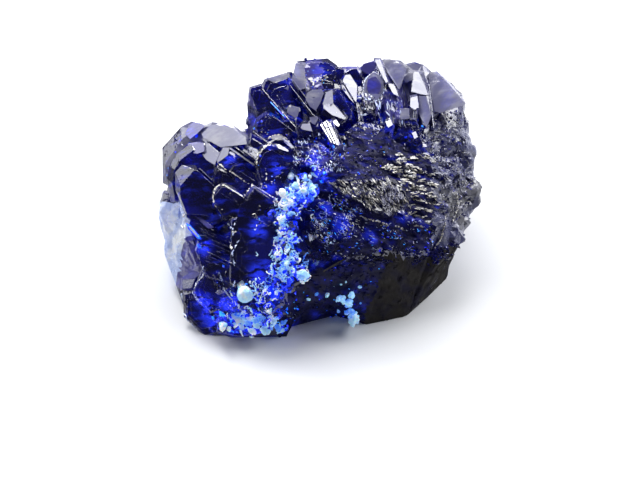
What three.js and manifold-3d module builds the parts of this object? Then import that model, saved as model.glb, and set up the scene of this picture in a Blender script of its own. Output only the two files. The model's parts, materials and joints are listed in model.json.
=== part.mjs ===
// A cluster of azurite: two fans of bladed crystals grown together, with pale grains in the seam.
// Millimetres, +Z up, +Y away from the front. The cluster stands on a flat cut at Z = 0.

import * as THREE from "three";
import { ConvexGeometry } from "three/addons/geometries/ConvexGeometry.js";
import { mergeVertices } from "three/addons/utils/BufferGeometryUtils.js";
import Module from "manifold-3d";

const wasm = await Module();
wasm.setup();

// The front of the cluster is drawn as it looks from in front and above.
const lookDown = THREE.MathUtils.degToRad(47.3);
const eyeDistance = 40;
const middleHeight = 5.6;

// The general swell of the front, measured towards the eye.
const crownDepth = 1.2;
const crownY = 1.5;
const fallSideways = 0.045;
const fallUpwards = 0.056;
const fallDownwards = 0.03;

// Every blade narrows towards the root of its fan. Its bevelled rim falls away from its face.
const leftRoot = new THREE.Vector3(-4.6, 3.4, 2.6);
const rightRoot = new THREE.Vector3(3.6, 5.6, 3.4);
const rootReach = 0.42;
const bevelFall = 0.35;
const bladeLean = 0.4;
const seamX = -1.2;

// Room between the azurite and the pale grains set into it.
const grainGap = 0.26;

// Edges shorter than this are closed up, because no crystal edge is so short.
const shortestEdge = 0.08;

const azuriteMaterial = new THREE.MeshStandardMaterial({ color: 0x141c8c, roughness: 0.12, metalness: 0 });
const grainMaterial = new THREE.MeshStandardMaterial({ color: 0xa9c4ee, roughness: 0.5, metalness: 0 });

function seededRandom(seed) {
  let state = seed;
  return () => {
    state = (state * 1664525 + 1013904223) % 4294967296;
    return state / 4294967296;
  };
}

// A point of the front, from its place across and up the drawing and its depth towards the eye.
function seen(x, y, depth) {
  const spread = (eyeDistance - depth) / eyeDistance;
  const up = y * spread;
  return new THREE.Vector3(
    x * spread,
    up * Math.sin(lookDown) - depth * Math.cos(lookDown),
    up * Math.cos(lookDown) + depth * Math.sin(lookDown) + middleHeight,
  );
}

function swell(x, y) {
  const along = y - crownY;
  const fall = along > 0 ? fallUpwards : fallDownwards;
  return crownDepth - fallSideways * x * x - fall * along * along;
}

function swellSlope(x, y) {
  const along = y - crownY;
  const fall = along > 0 ? fallUpwards : fallDownwards;
  return [-2 * fallSideways * x, -2 * fall * along];
}

// Closed solids from points, and back to geometry.
function solidOf(geometry) {
  const bare = geometry.clone();
  bare.deleteAttribute("normal");
  bare.deleteAttribute("uv");
  const merged = mergeVertices(bare, 1e-4);
  const vertProperties = new Float32Array(merged.attributes.position.array);
  const triVerts = new Uint32Array(merged.index.array);
  return new wasm.Manifold(new wasm.Mesh({ numProp: 3, vertProperties, triVerts }));
}

function hull(points) {
  return solidOf(new ConvexGeometry(points));
}

function joined(solids) {
  let pile = solids;
  while (pile.length > 1) {
    const next = [];
    for (let i = 0; i + 1 < pile.length; i += 2) next.push(pile[i].add(pile[i + 1]));
    if (pile.length % 2) next.push(pile[pile.length - 1]);
    pile = next;
  }
  return pile[0];
}

function centroid(outline) {
  const sum = outline.reduce((total, [x, y]) => [total[0] + x, total[1] + y], [0, 0]);
  return [sum[0] / outline.length, sum[1] / outline.length];
}

// A blade of the front: a flat face with a bevelled rim, running back into the mass.
function blade({ face, rim, lift = 0, lean = bladeLean, tilt = [0, 0], bevel = bevelFall }) {
  const [cx, cy] = centroid(face);
  const [slopeX, slopeY] = swellSlope(cx, cy);
  const base = swell(cx, cy) + lift;
  const plane = (x, y) => base + (slopeX * lean + tilt[0]) * (x - cx) + (slopeY * lean + tilt[1]) * (y - cy);
  const root = cx < seamX ? leftRoot : rightRoot;
  const rimPoints = rim.map(([x, y]) => seen(x, y, plane(x, y) - bevel));
  const points = [
    ...face.map(([x, y]) => seen(x, y, plane(x, y))),
    ...rimPoints,
    ...rimPoints.map((point) => point.clone().lerp(root, rootReach)),
  ];
  return hull(points);
}

// The rim of a blade that has the same small bevel all round.
function grown(outline, width) {
  const [cx, cy] = centroid(outline);
  return outline.map(([x, y]) => {
    const reach = Math.hypot(x - cx, y - cy);
    return [x + ((x - cx) / reach) * width, y + ((y - cy) / reach) * width];
  });
}

function plainBlade(face, options = {}) {
  const { width = 0.12, ...rest } = options;
  return blade({ face, rim: grown(face, width), bevel: 0.12, ...rest });
}

// The left fan: nested chevrons that step down towards the eye.
function leftFan() {
  const backChevron = {
    face: [[-7.75, 6.85], [-8.5, 6.2], [-9.5, 4.7], [-9.4, 3.6], [-7, 3], [-5.8, 4.8], [-6.3, 5.6]],
    rim: [[-7.84, 7.33], [-8.55, 6.97], [-9, 6.47], [-9.71, 5.68], [-9.68, 3.5], [-7, 2.5], [-5.5, 4.5], [-7.42, 7.24]],
    lift: 0.1,
  };
  const backShoulder = {
    face: [[-6.4, 6.8], [-5.4, 6.6], [-4.6, 6.1], [-4.3, 5.4], [-5.5, 4.8], [-6.9, 5.7]],
    rim: [[-6.9, 7.02], [-6.34, 7.21], [-5.34, 7.08], [-4.42, 6.39], [-3.9, 5.5], [-5, 4.5], [-7.3, 6.3]],
    lift: -0.1,
  };
  const secondChevron = {
    face: [[-7.74, 5.55], [-8.53, 4.63], [-8.95, 4.1], [-9.03, 3.5], [-8.9, 2.9], [-6.5, 2.6], [-6.3, 4.4]],
    rim: [[-7.53, 6.05], [-9.2, 4.35], [-9.28, 3.5], [-9.1, 2.8], [-6.5, 2.3], [-5.7, 4.4], [-6.1, 5.5], [-6.95, 5.95]],
    lift: 0.25,
    bevel: 0.5,
  };
  const thirdChevron = {
    face: [[-7.6, 4.3], [-8.55, 3.24], [-8.62, 2.5], [-8.2, 1.5], [-6.9, 1.5], [-6.7, 3.5]],
    rim: [[-8.8, 4.3], [-8.05, 4.6], [-7.4, 4.5], [-6.55, 3.8], [-6.3, 2], [-7, 1], [-8.4, 1.2], [-8.8, 2.5]],
    lift: 0.42,
    bevel: 0.45,
  };
  const innerStep = [[-7.9, 3.24], [-8.1, 3.05], [-8.2, 2.42], [-8.25, 1.4], [-7, 0.7], [-5.9, 1.2], [-6.7, 2.4]];
  const slantBlade = {
    face: [[-6.35, 4.45], [-6.55, 3.5], [-6.5, 2.3], [-4.7, 1.9], [-4.45, 3], [-4.85, 3.35]],
    rim: [[-6.28, 4.64], [-6.5, 4.5], [-6.68, 3.4], [-6.6, 2], [-4.5, 1.7], [-4.2, 3], [-4.7, 3.45]],
    lift: 0.1,
    bevel: 0.2,
  };
  const archBlade = {
    face: [[-6.55, 2.2], [-6.6, 2.45], [-6.45, 2.95], [-6, 3.38], [-5.84, 3.34], [-4.68, 2.6], [-4.6, 1.6], [-5.8, 1.2]],
    rim: [[-6.75, 2.2], [-6.78, 2.5], [-6.6, 3.1], [-6.05, 3.58], [-5.72, 3.5], [-4.5, 2.8], [-4.4, 1.3], [-5.8, 0.9]],
    lift: 0.4,
    bevel: 0.3,
  };
  const frostedBlade = {
    face: [[-5.63, 5.37], [-6.15, 5], [-6.3, 4.6], [-5.2, 3.7], [-4.5, 4], [-4.42, 4.53]],
    rim: [[-6.42, 4.85], [-6.2, 5.3], [-5.84, 5.9], [-5, 5.74], [-4, 4.84], [-4, 4.1], [-4.8, 3.4], [-6.4, 4.3]],
    lift: 0.1,
    bevel: 0.45,
  };
  const halfStep = [[-5.47, 4.25], [-5.26, 4.55], [-4.74, 4.62], [-4.05, 4.05], [-3.7, 3.3], [-4.9, 3.3]];
  const seamBlade = {
    face: [[-3.9, 4.85], [-3.5, 5.6], [-3, 5.85], [-2.1, 5.4], [-1.4, 4.5], [-1.3, 3.4], [-2.4, 2.5], [-3.5, 3], [-3.7, 4]],
    rim: [[-4.08, 4.95], [-3.62, 5.85], [-3, 6.05], [-2, 5.6], [-1.2, 4.6], [-1.1, 3.3], [-2.4, 2.2], [-3.7, 2.8], [-3.9, 4]],
    lift: 0.1,
    bevel: 0.2,
  };
  const seamStrip = {
    face: [[-4.1, 3.1], [-2.65, 2.2], [-2.5, 1], [-4.2, 0.8], [-4.5, 2.4]],
    rim: [[-4.22, 3.45], [-2.45, 2.55], [-2.3, 0.8], [-4.3, 0.6], [-4.7, 2.6]],
    lift: 0.2,
  };
  return [
    blade(backChevron),
    blade(backShoulder),
    blade(secondChevron),
    blade(thirdChevron),
    plainBlade(innerStep, { lift: 0.52 }),
    blade(slantBlade),
    blade(archBlade),
    blade(frostedBlade),
    plainBlade(halfStep, { lift: 0.2 }),
    plainBlade([[-4.15, 5.75], [-3.9, 5.3], [-3.95, 4.9], [-4.6, 5.2], [-4.6, 5.7]], { lift: -0.2 }),
    blade(seamBlade),
    blade(seamStrip),
  ];
}

// The lower left: thin plates that step down to the foot.
function leftSkirt() {
  const steps = [
    [[-8.2, 1.5], [-7.48, 1.44], [-6.5, 0.78], [-6.2, -0.6], [-7.8, -0.6], [-8.4, 0.9]],
    [[-8.25, 0.95], [-7.13, 0.62], [-6.07, 0.1], [-5.64, -0.28], [-5.6, -1.6], [-7.6, -1.5], [-8.3, 0.1]],
    [[-7.48, -0.09], [-6.9, -0.4], [-5.37, -1.2], [-5.6, -2.6], [-7, -2.2], [-7.6, -0.7]],
  ];
  const frontWall = [
    [-5.4, 1.2], [-4.4, 1.5], [-3.1, 1.1], [-2.5, -0.4], [-2.7, -2.4], [-4.2, -3.3], [-5.5, -2.6], [-5.2, -1],
  ];
  const footFace = [[-7.08, -1.5], [-7.7, -3.2], [-7.4, -3.76], [-6.7, -4.4], [-5.3, -3.8], [-5.5, -2.4], [-6.1, -1.9]];
  const lowestPlate = [[-8.3, -3.4], [-7.8, -3.2], [-6.6, -4.3], [-6.2, -5.6], [-7.1, -5.8], [-8.2, -4.7]];
  return [
    ...steps.map((face, i) => plainBlade(face, { lift: 0.35 + 0.12 * i, tilt: [0, 0.06] })),
    plainBlade(frontWall, { lift: 0.3, width: 0.15 }),
    plainBlade(footFace, { lift: 0.55, width: 0.15 }),
    plainBlade([[-8.47, -2.4], [-7.68, -2.35], [-7.9, -3.1], [-8.5, -3.05]], { lift: 0.5 }),
    plainBlade(lowestPlate, { lift: 0.5, width: 0.2 }),
    plainBlade([[-6, -3.6], [-4.6, -3.2], [-3.4, -3.9], [-3.2, -5.6], [-5, -5.9], [-6.3, -5.6]], { lift: 0.3 }),
  ];
}

// The right fan: blades that turn from a slant on the left to nearly upright on the right.
function rightFan() {
  const speckled = {
    face: [[-3.95, 6.85], [-3.75, 7.4], [-3.26, 7.75], [-2.7, 7.4], [-1.6, 6.6], [-2, 5.9], [-3.2, 6.15]],
    rim: [[-4.15, 6.8], [-3.9, 7.55], [-3.26, 7.98], [-2.5, 7.6], [-1.4, 6.65], [-1.8, 5.7], [-3.25, 5.95]],
    lift: 0.25,
    bevel: 0.2,
  };
  const shelfUnder = [[-4.2, 6.5], [-3.26, 6], [-2.4, 5.4], [-3.2, 5.2], [-3.9, 5.5], [-4.3, 5.9]];
  const lavender = {
    face: [[-4.3, 8.6], [-4.25, 9.35], [-3.6, 9.5], [-2.4, 7.7], [-3.2, 7.5], [-3.9, 8]],
    rim: [[-4.5, 8.4], [-4.35, 9.42], [-3.6, 9.65], [-2.1, 7.6], [-3.2, 7.3], [-4.1, 7.9]],
    lift: 0.1,
    bevel: 0.25,
  };
  const greyViolet = {
    face: [[-3.5, 9.3], [-3.35, 9.75], [-1.95, 10.15], [-1.95, 9.3], [-1.5, 8.2], [-2.2, 7.6], [-3, 8.5]],
    rim: [[-3.63, 9.5], [-3.42, 9.9], [-1.9, 10.36], [-1.7, 9.4], [-1.3, 8], [-2.2, 7.3], [-3.1, 8.3]],
    lift: 0.2,
    bevel: 0.22,
  };
  const greyFacet = {
    face: [[-2.05, 7.8], [-1.53, 7.5], [-1.35, 6.7], [-1.9, 6.2], [-2.3, 7.3]],
    rim: [[-1.9, 8.3], [-1.1, 8.15], [-1, 6.8], [-1.6, 6], [-2.4, 7.2], [-2.35, 7.7]],
    lift: 0.3,
    bevel: 0.45,
  };
  const stripedPillar = {
    face: [[-1.6, 10.2], [-1.84, 9.55], [-0.3, 7.6], [-0.3, 8.3], [-0.9, 9.2], [-1.2, 10.1]],
    rim: [[-1.6, 10.4], [-2, 9.55], [-0.5, 7.4], [0, 7.6], [-0.2, 8.6], [-1, 10.3]],
    lift: 0.45,
    bevel: 0.25,
  };
  const violetKnob = {
    face: [[-1.25, 10.8], [0.4, 10.95], [0.9, 10.6], [1.1, 9.8], [0.7, 9.1], [-0.8, 9.1], [-1, 9.9]],
    rim: [[-1.42, 11], [-0.6, 11.1], [0.47, 11.18], [1.05, 10.76], [1.3, 9.8], [0.7, 8.7], [-0.9, 8.8], [-1.15, 9.9]],
    lift: 0.25,
    bevel: 0.25,
  };
  const greyPair = {
    face: [[-0.75, 9], [0.2, 9.05], [0.05, 8.1], [-0.3, 7.75], [-0.8, 8.4]],
    rim: [[-0.9, 9.2], [0.3, 9.22], [0.2, 7.9], [-0.35, 7.4], [-1, 8.2]],
    lift: 0.6,
    bevel: 0.2,
  };
  const brightFacet = {
    face: [[0.35, 9.1], [0.8, 9.15], [1, 8.3], [1.6, 7.6], [1.1, 7.5], [0.2, 8]],
    rim: [[0.25, 9.28], [0.9, 9.3], [1.15, 8.4], [1.8, 7.55], [1.2, 7.2], [0, 7.7]],
    lift: 0.65,
    bevel: 0.2,
  };
  const blueStrip = [[0.9, 9.2], [1.15, 9.22], [1.95, 8.25], [1.9, 7.5], [1.6, 7.4], [0.95, 8.4]];
  const whitePrism = {
    face: [[1.5, 10], [1.75, 10.05], [2.1, 9.4], [2.15, 8.8], [1.9, 8.4], [1.35, 9.3], [1.35, 9.7]],
    rim: [[1.45, 10.2], [1.82, 10.24], [2.32, 9.5], [2.35, 8.6], [1.9, 8.1], [1.2, 9.2], [1.25, 9.8]],
    lift: 0.75,
    bevel: 0.35,
  };
  const blueGap = [[1.7, 10.4], [2.1, 10.5], [2.7, 9.8], [2.5, 8.6], [1.7, 9.4]];
  const upperGap = [[0.9, 10.6], [1.6, 10.55], [2.3, 10.6], [2.6, 9.8], [1.5, 8.8], [0.9, 9.2]];
  const whiteBlade = {
    face: [[0.1, 6.95], [0.42, 7.25], [0.6, 7.3], [1.2, 5.9], [0.9, 5.7]],
    rim: [[-0.02, 6.95], [0.4, 7.42], [0.75, 7.4], [1.4, 5.8], [0.9, 5.4]],
    lift: 0.75,
    bevel: 0.2,
  };
  return [
    blade(speckled),
    plainBlade(shelfUnder, { lift: 0.15 }),
    blade(lavender),
    blade(greyViolet),
    blade(greyFacet),
    blade(stripedPillar),
    blade(violetKnob),
    blade(greyPair),
    blade(brightFacet),
    plainBlade(blueStrip, { lift: 0.45 }),
    blade(whitePrism),
    plainBlade(blueGap, { lift: 0.35, lean: 0.8 }),
    plainBlade(upperGap, { lift: 0.1, lean: 0.8 }),
    blade(whiteBlade),
    plainBlade([[-0.95, 7.34], [-0.47, 7.03], [-0.4, 6.4], [-1.26, 6.4], [-1.4, 6.8]], { lift: 0.45 }),
    plainBlade([[-0.42, 7.5], [-0.05, 7.45], [0.1, 6.6], [-0.4, 6.3], [-0.65, 7.2]], { lift: 0.55 }),
    plainBlade([[-2.74, 5.92], [-2.16, 5.45], [-1.5, 5.5], [-1.2, 4.8], [-2.2, 4.6]], { lift: 0.25 }),
    plainBlade([[-1.6, 6.2], [-0.4, 6.2], [0.3, 5.6], [0.2, 4.6], [-1.2, 4.6]], { lift: 0.1, lean: 0.9 }),
  ];
}

// The upright blades of the right fan, each a long ridge with a bevel on its left.
function uprightBlades() {
  const window = [[2.45, 10.5], [3.25, 10.85], [3.6, 10.2], [3.4, 8.2], [2.4, 7.4], [2.1, 9]];
  const hillock = [[2.75, 9.8], [3.26, 10.25], [3.8, 9.9], [3.95, 9.2], [3.7, 8.2], [2.9, 7.9], [2.6, 8.8]];
  const paleRidge = {
    face: [[3.6, 10.95], [4.16, 9.7], [4.84, 8.5], [5, 7.2], [4.4, 6.9], [3.9, 8.4], [3.5, 10]],
    rim: [[3.3, 11.24], [3.75, 11.2], [4.4, 9.9], [5.1, 8.6], [5.2, 6.9], [4.3, 6.6], [3.7, 8.3], [3.3, 10]],
    lift: 0.5,
    bevel: 0.3,
  };
  const wideBlade = {
    face: [[4.1, 11], [4.9, 10.9], [5.1, 10], [5.1, 8.6], [5.4, 7.6], [4.7, 7.4], [4.4, 9.8]],
    rim: [[3.9, 11.14], [5, 11.05], [5.4, 10], [5.4, 8.6], [5.6, 7.5], [4.6, 7.1], [4.2, 9.7]],
    lift: 0.25,
    bevel: 0.25,
  };
  const longBlade = {
    face: [[5.6, 10.25], [6.2, 10.15], [6.45, 9.4], [6.7, 8.5], [6.85, 7.5], [6.3, 7], [5.95, 8.1], [5.55, 9.6]],
    rim: [[5.45, 10.5], [6.4, 10.4], [6.75, 9.4], [7, 8.5], [7.1, 7.3], [6.2, 6.6], [5.7, 7.9], [5.3, 9.6]],
    lift: 0.75,
    bevel: 0.4,
  };
  const shortBevel = [[5.1, 9.95], [5.45, 10.25], [5.7, 9.9], [5.9, 8.8], [5.5, 8.6], [5.15, 9.4]];
  const whiteFacet = [[5.55, 8.8], [5.95, 8.85], [6.1, 8.1], [5.9, 7.3], [5.5, 7.4]];
  const greyFacet = [[4.7, 7.9], [5.47, 7.85], [5.5, 7], [5.9, 6], [4.9, 6.6]];
  const violetFacet = [[5.58, 7.45], [5.9, 7.4], [6.1, 6.6], [6.3, 5.9], [5.6, 6]];
  const smoothFlank = {
    face: [[6.7, 10.3], [7.3, 10.15], [8.3, 9.2], [9, 8.2], [9, 7.5], [7.3, 7.2], [6.9, 8.6]],
    rim: [[6.3, 10.85], [7.37, 10.42], [8.4, 9.4], [9.25, 8.4], [9.32, 7.3], [7.3, 6.8], [6.6, 8.4]],
    lift: 0.8,
    lean: 0.8,
    bevel: 0.3,
  };
  return [
    plainBlade(window, { lift: 0.1, lean: 0.8 }),
    plainBlade(hillock, { lift: 0.6, lean: 0.8 }),
    blade(paleRidge),
    blade(wideBlade),
    blade(longBlade),
    plainBlade(shortBevel, { lift: 0.6, tilt: [0.2, 0] }),
    plainBlade(whiteFacet, { lift: 0.75, tilt: [0.3, 0] }),
    plainBlade(greyFacet, { lift: 0.45 }),
    plainBlade(violetFacet, { lift: 0.5, tilt: [0.2, 0] }),
    plainBlade([[6.3, 7], [6.7, 6.97], [6.95, 6.2], [6.6, 5.6], [6, 5.8]], { lift: 0.45 }),
    plainBlade([[4.05, 7.1], [4.26, 7.45], [4.5, 7], [4.3, 6.4], [3.9, 6.5]], { lift: 0.5, tilt: [-0.2, 0] }),
    plainBlade([[5.2, 10.75], [5.84, 10.85], [6.3, 10.8], [6.6, 10.5], [6.4, 9.6], [5.4, 9.6]], { lift: 0 }),
    blade(smoothFlank),
  ];
}

// One ledge of broken crystal, from one end of its crest to the other.
function ledge(x0, y0, x1, y1, width, height) {
  const length = Math.hypot(x1 - x0, y1 - y0);
  const side = [(-(y1 - y0) / length) * width, ((x1 - x0) / length) * width];
  const points = [];
  for (const [x, y] of [[x0, y0], [x1, y1]]) {
    const base = swell(x, y);
    points.push(seen(x, y, base + height));
    points.push(seen(x + side[0], y + side[1], base + 0.1 * height));
    points.push(seen(x - side[0] * 0.35, y - side[1] * 0.35, base - 0.3));
    points.push(seen(x + side[0], y + side[1], base - 1));
  }
  const [mx, my] = [(x0 + x1) / 2, (y0 + y1) / 2];
  points.push(seen(mx - side[0] * 0.1, my - side[1] * 0.1, swell(mx, my) + height * 1.25));
  return hull(points);
}

// The broken face: a bright sheet, and rows of ledges that slope down to the right.
function brokenFace() {
  const sheet = {
    face: [[0.6, 3.5], [2.5, 3.65], [4.6, 3.65], [4.95, 3.4], [5.4, 2.55], [4.45, 1.6], [3.2, 1.9], [2.3, 2.5]],
    rim: [[0.3, 3.6], [2.5, 3.85], [4.7, 3.85], [5.1, 3.5], [5.6, 2.5], [4.45, 1.3], [3.2, 1.6], [2.1, 2.3]],
    lift: 0.05,
    lean: 1,
    tilt: [0, -0.12],
    bevel: 0.25,
  };
  const rows = [];
  const random = seededRandom(11);
  const rowCount = 8;
  for (let row = 0; row < rowCount; row++) {
    const y = 5.3 - row * 0.52;
    const left = 3.9 + 0.25 * Math.sin(row * 1.7) + 0.12 * row;
    for (let piece = 0; piece < 3; piece++) {
      const x0 = left + piece * 1.05 + random() * 0.25;
      const y0 = y - piece * 0.3 + (random() - 0.5) * 0.2;
      const span = 0.8 + random() * 0.35;
      rows.push(ledge(x0, y0, x0 + span, y0 - span * 0.3, 0.34, 0.16 + random() * 0.14));
    }
  }
  const lowerLedges = [
    [0.9, 2.6, 2.9, 1.9], [2.2, 1.7, 4.1, 1], [0.4, 1.5, 1.9, 0.9], [3.4, 0.8, 4.9, 0.3], [5, 1.2, 6.6, 0.5],
    [1.2, 0.5, 2.6, -0.1], [-0.2, 0.2, 0.9, -0.4], [3, -0.1, 4.4, -0.6], [5.3, -0.2, 6.7, -0.6],
    [-0.6, 2.3, 0.6, 1.7], [-0.9, 1.1, 0.1, 0.6], [6.3, 1.6, 7.3, 1],
  ];
  for (const [x0, y0, x1, y1] of lowerLedges) {
    rows.push(ledge(x0, y0, x1, y1, 0.45, 0.14 + random() * 0.12));
  }
  return [
    blade(sheet),
    plainBlade([[1, 5.2], [2.2, 5.4], [3.8, 5], [3.7, 4], [1.6, 3.8]], { lift: -0.1, lean: 1 }),
    plainBlade([[2.4, 7.3], [3.9, 7], [4.4, 6.2], [4, 5.2], [2.4, 5.4], [1.6, 6.6]], { lift: -0.15, lean: 1 }),
    plainBlade([[-0.3, 5.4], [0.9, 5.3], [1.2, 4.4], [0.3, 3.9], [-0.4, 4.3]], { lift: 0.1, lean: 1 }),
    ...rows,
  ];
}

// A small stubby crystal that sits on the mass, turned at random.
function stub(centre, size, random) {
  const turn = new THREE.Euler(random() * 6, random() * 6, random() * 6);
  const stretch = new THREE.Matrix4().makeScale(1, 0.7 + 0.4 * random(), 1 + 0.4 * random());
  const shape = new THREE.OctahedronGeometry(size);
  shape.applyMatrix4(stretch);
  shape.applyMatrix4(new THREE.Matrix4().makeRotationFromEuler(turn).setPosition(centre));
  return solidOf(shape);
}

// The grained flank on the right, and the tips that catch light on the broken face.
function stubs() {
  const random = seededRandom(5);
  const found = [];
  const flank = [
    [7.6, 6.6], [8.3, 6.9], [9, 6.4], [7.9, 5.8], [8.7, 5.5], [7.6, 4.9], [8.3, 4.6], [9.1, 4.8], [7.8, 3.9],
    [8.6, 3.7], [9.3, 3.9], [7.7, 3], [8.4, 2.7], [9.2, 2.9], [9.7, 2.9], [7.9, 2], [8.7, 1.8], [9.5, 2],
    [7.7, 1], [8.4, 0.9], [9.2, 1.1], [7.6, 0.1], [8.3, 0], [8.8, 0.2], [7.6, -0.7], [8.2, -0.9], [9.4, 5.6],
    [9.2, 7.2], [8.6, 6.2], [9.6, 3.4],
  ];
  for (const [x, y] of flank) {
    const size = 0.5 + random() * 0.35;
    found.push(stub(seen(x, y, swell(x, y) - 0.25), size, random));
  }
  const tips = [
    [-0.4, 1.7], [0.5, 2.3], [0.2, 0.7], [1, 1.5], [1.7, 0.9], [2.4, 1.4], [3.1, 0.2], [1.6, 0], [4.4, 1.1],
    [4.9, 0], [6, 0.4], [6.7, -0.2], [0, -0.6], [6.6, 2.1], [7.2, 3.2], [6.9, 4.4],
  ];
  for (const [x, y] of tips) {
    found.push(stub(seen(x, y, swell(x, y) - 0.12), 0.3 + random() * 0.2, random));
  }
  return found;
}

// The mass behind the blades. Points of the front are drawn, points of the back are set out in place.
function mass() {
  const at = (x, y, z) => new THREE.Vector3(x, y, z);
  const under = (x, y, drop) => seen(x, y, swell(x, y) - drop);
  const left = [
    under(-8.6, 5.6, 0.9), under(-7.7, 6.6, 1), under(-5.5, 6.3, 0.9), under(-4, 5.6, 0.8), under(-2, 4.8, 0.5),
    under(-7, 2, 0.3), under(-5, 3, 0.3), under(-3, 1, 0.3), under(-5, -1, 0.3), under(-4, -4, 0.3),
    under(-7, -2.5, 0.3), under(-1.6, 0, 0.6), under(-2, -3, 0.4), seen(-9.4, 3.2, -4), seen(-9.55, -0.9, -4.2),
    seen(-9, -1.7, -4), seen(-8.2, -4.6, -3), at(-8.2, -2.6, -1), at(-6.6, -3.7, -1), at(-2.2, -3.6, -1),
    at(-9.4, 2, -1), at(-9.9, 5.6, 3.4), at(-8.6, 8.6, 5.4), at(-5, 9.8, 5.6), at(-7.4, 8, -1), at(-3, 9, -1),
    at(-1.5, -1, -1),
  ];
  const right = [
    under(-3.4, 8.8, 1), under(-1.7, 10, 1), under(0.8, 10.5, 0.9), under(4, 10.6, 0.9), under(7, 10, 0.2),
    under(8.8, 8.4, 0.1), under(9, 5.5, 0.6), under(9.6, 2.6, 0.6), under(8.5, 0, 0.5), under(-3, 6, 0.7),
    under(-1.6, 3, 0.5), under(-1, 0, 0.4), under(1, 5, 0.3), under(4, 5, 0.25), under(6, 5, 0.25),
    under(2, 2, 0.2), under(5, 2, 0.2), under(7, 3, 0.25), under(7, 1, 0.3), under(6.8, -0.7, 0.3),
    under(4.6, -0.5, 0.25), under(2.6, -0.9, 0.25), under(0.4, -1.6, 0.4), seen(8.5, -0.95, -4.2),
    at(8.65, 1.4, -0.3), at(7, -0.4, -0.3), at(5.6, -1.8, -0.3), at(3.2, -2.4, -0.3), at(1.4, -1.8, -0.3),
    at(10.6, 7, 4.4), at(9.8, 9, 1.6), at(10.2, 12, 6), at(-3.4, 11.8, 6.8), at(2, 13.4, 6.8),
    at(8, 13.6, 6.4), at(-1.6, 10.2, -1), at(4, 11.8, -1), at(8, 9.8, -1),
  ];
  const seam = [
    under(-3, 4.8, 0.7), under(0.4, 5, 0.6), under(-3, 1.5, 0.6), under(0.8, 1.5, 0.5), under(-3, -3, 0.6),
    under(-0.4, -2.6, 0.5), under(1, -1, 0.5), under(-2.2, -4.6, 0.9), under(0.4, -3.4, 0.9), at(-2.6, -2.6, -1),
    at(1.8, -1.2, -1), at(-3, 9, -1), at(1, 9, -1), at(-3, 8.4, 6), at(0, 9, 6),
  ];
  return [left, right, seam].map((points) => new ConvexGeometry(points));
}

// Blades on the sides that the front view hides: rows of chevrons that overlap like scales.
const wings = [
  { centre: [3.6, 6, 3.6], from: 16, to: 166, climbs: [-22, 6, 37], across: 6 },
  { centre: [-5.6, 3.4, 3], from: 80, to: 166, climbs: [-24, 6, 36], across: 3 },
];

// Two chevrons on one axis, the nearer one smaller and a step further out.
function chevronPair(origin, normal, random) {
  const sideways = new THREE.Vector3(-normal.y, normal.x, 0).normalize();
  const swing = (random() - 0.5) * 0.7;
  const outward = normal.clone().applyAxisAngle(sideways, 0.06 + random() * 0.14);
  const growth = new THREE.Vector3().crossVectors(outward, sideways).applyAxisAngle(outward, swing);
  const flat = new THREE.Vector3().crossVectors(growth, outward);
  const width = 1.1 + random() * 0.6;
  const length = 1.8 + random() * 1.2;
  const step = 0.4 + random() * 0.25;
  const peak = (random() - 0.5) * 0.8 * width;
  const chevron = (scale, drop) => [
    [-width * scale, -length - drop], [width * scale, -length - drop], [width * scale, -drop],
    [peak, width * 0.85 - drop], [-width * scale, width * 0.1 - drop],
  ];
  const plate = (scale, drop, proud) => {
    const face = chevron(scale, drop);
    const rim = grown(face, 0.22);
    const place = (depth) => ([x, y]) =>
      origin.clone().addScaledVector(flat, x).addScaledVector(growth, y).addScaledVector(outward, depth);
    return hull([...face.map(place(proud)), ...rim.map(place(proud - 0.22)), ...rim.map(place(-1.4))]);
  };
  return [plate(1, 0, 0.2), plate(0.72, step * 1.6, 0.2 + step)];
}

function hiddenBlades(body) {
  const random = seededRandom(23);
  const found = [];
  const ray = new THREE.Raycaster();
  for (const { centre, from, to, climbs, across } of wings) {
    climbs.forEach((rise, row) => {
      for (let i = 0; i < across; i++) {
        const share = (i + 0.2 + 0.5 * (row % 2) + (random() - 0.5) * 0.35) / across;
        const turn = THREE.MathUtils.degToRad(from + (to - from) * share);
        const climb = THREE.MathUtils.degToRad(rise + (random() - 0.5) * 12);
        const flatReach = Math.cos(climb);
        const direction = new THREE.Vector3(
          flatReach * Math.cos(turn), flatReach * Math.sin(turn), Math.sin(climb),
        );
        const middle = new THREE.Vector3(...centre);
        ray.set(middle.clone().addScaledVector(direction, 30), direction.clone().negate());
        const [hit] = ray.intersectObject(body);
        const normal = hit.face.normal.clone().add(direction).normalize();
        found.push(...chevronPair(hit.point, normal, random));
      }
    });
  }
  return found;
}

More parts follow.
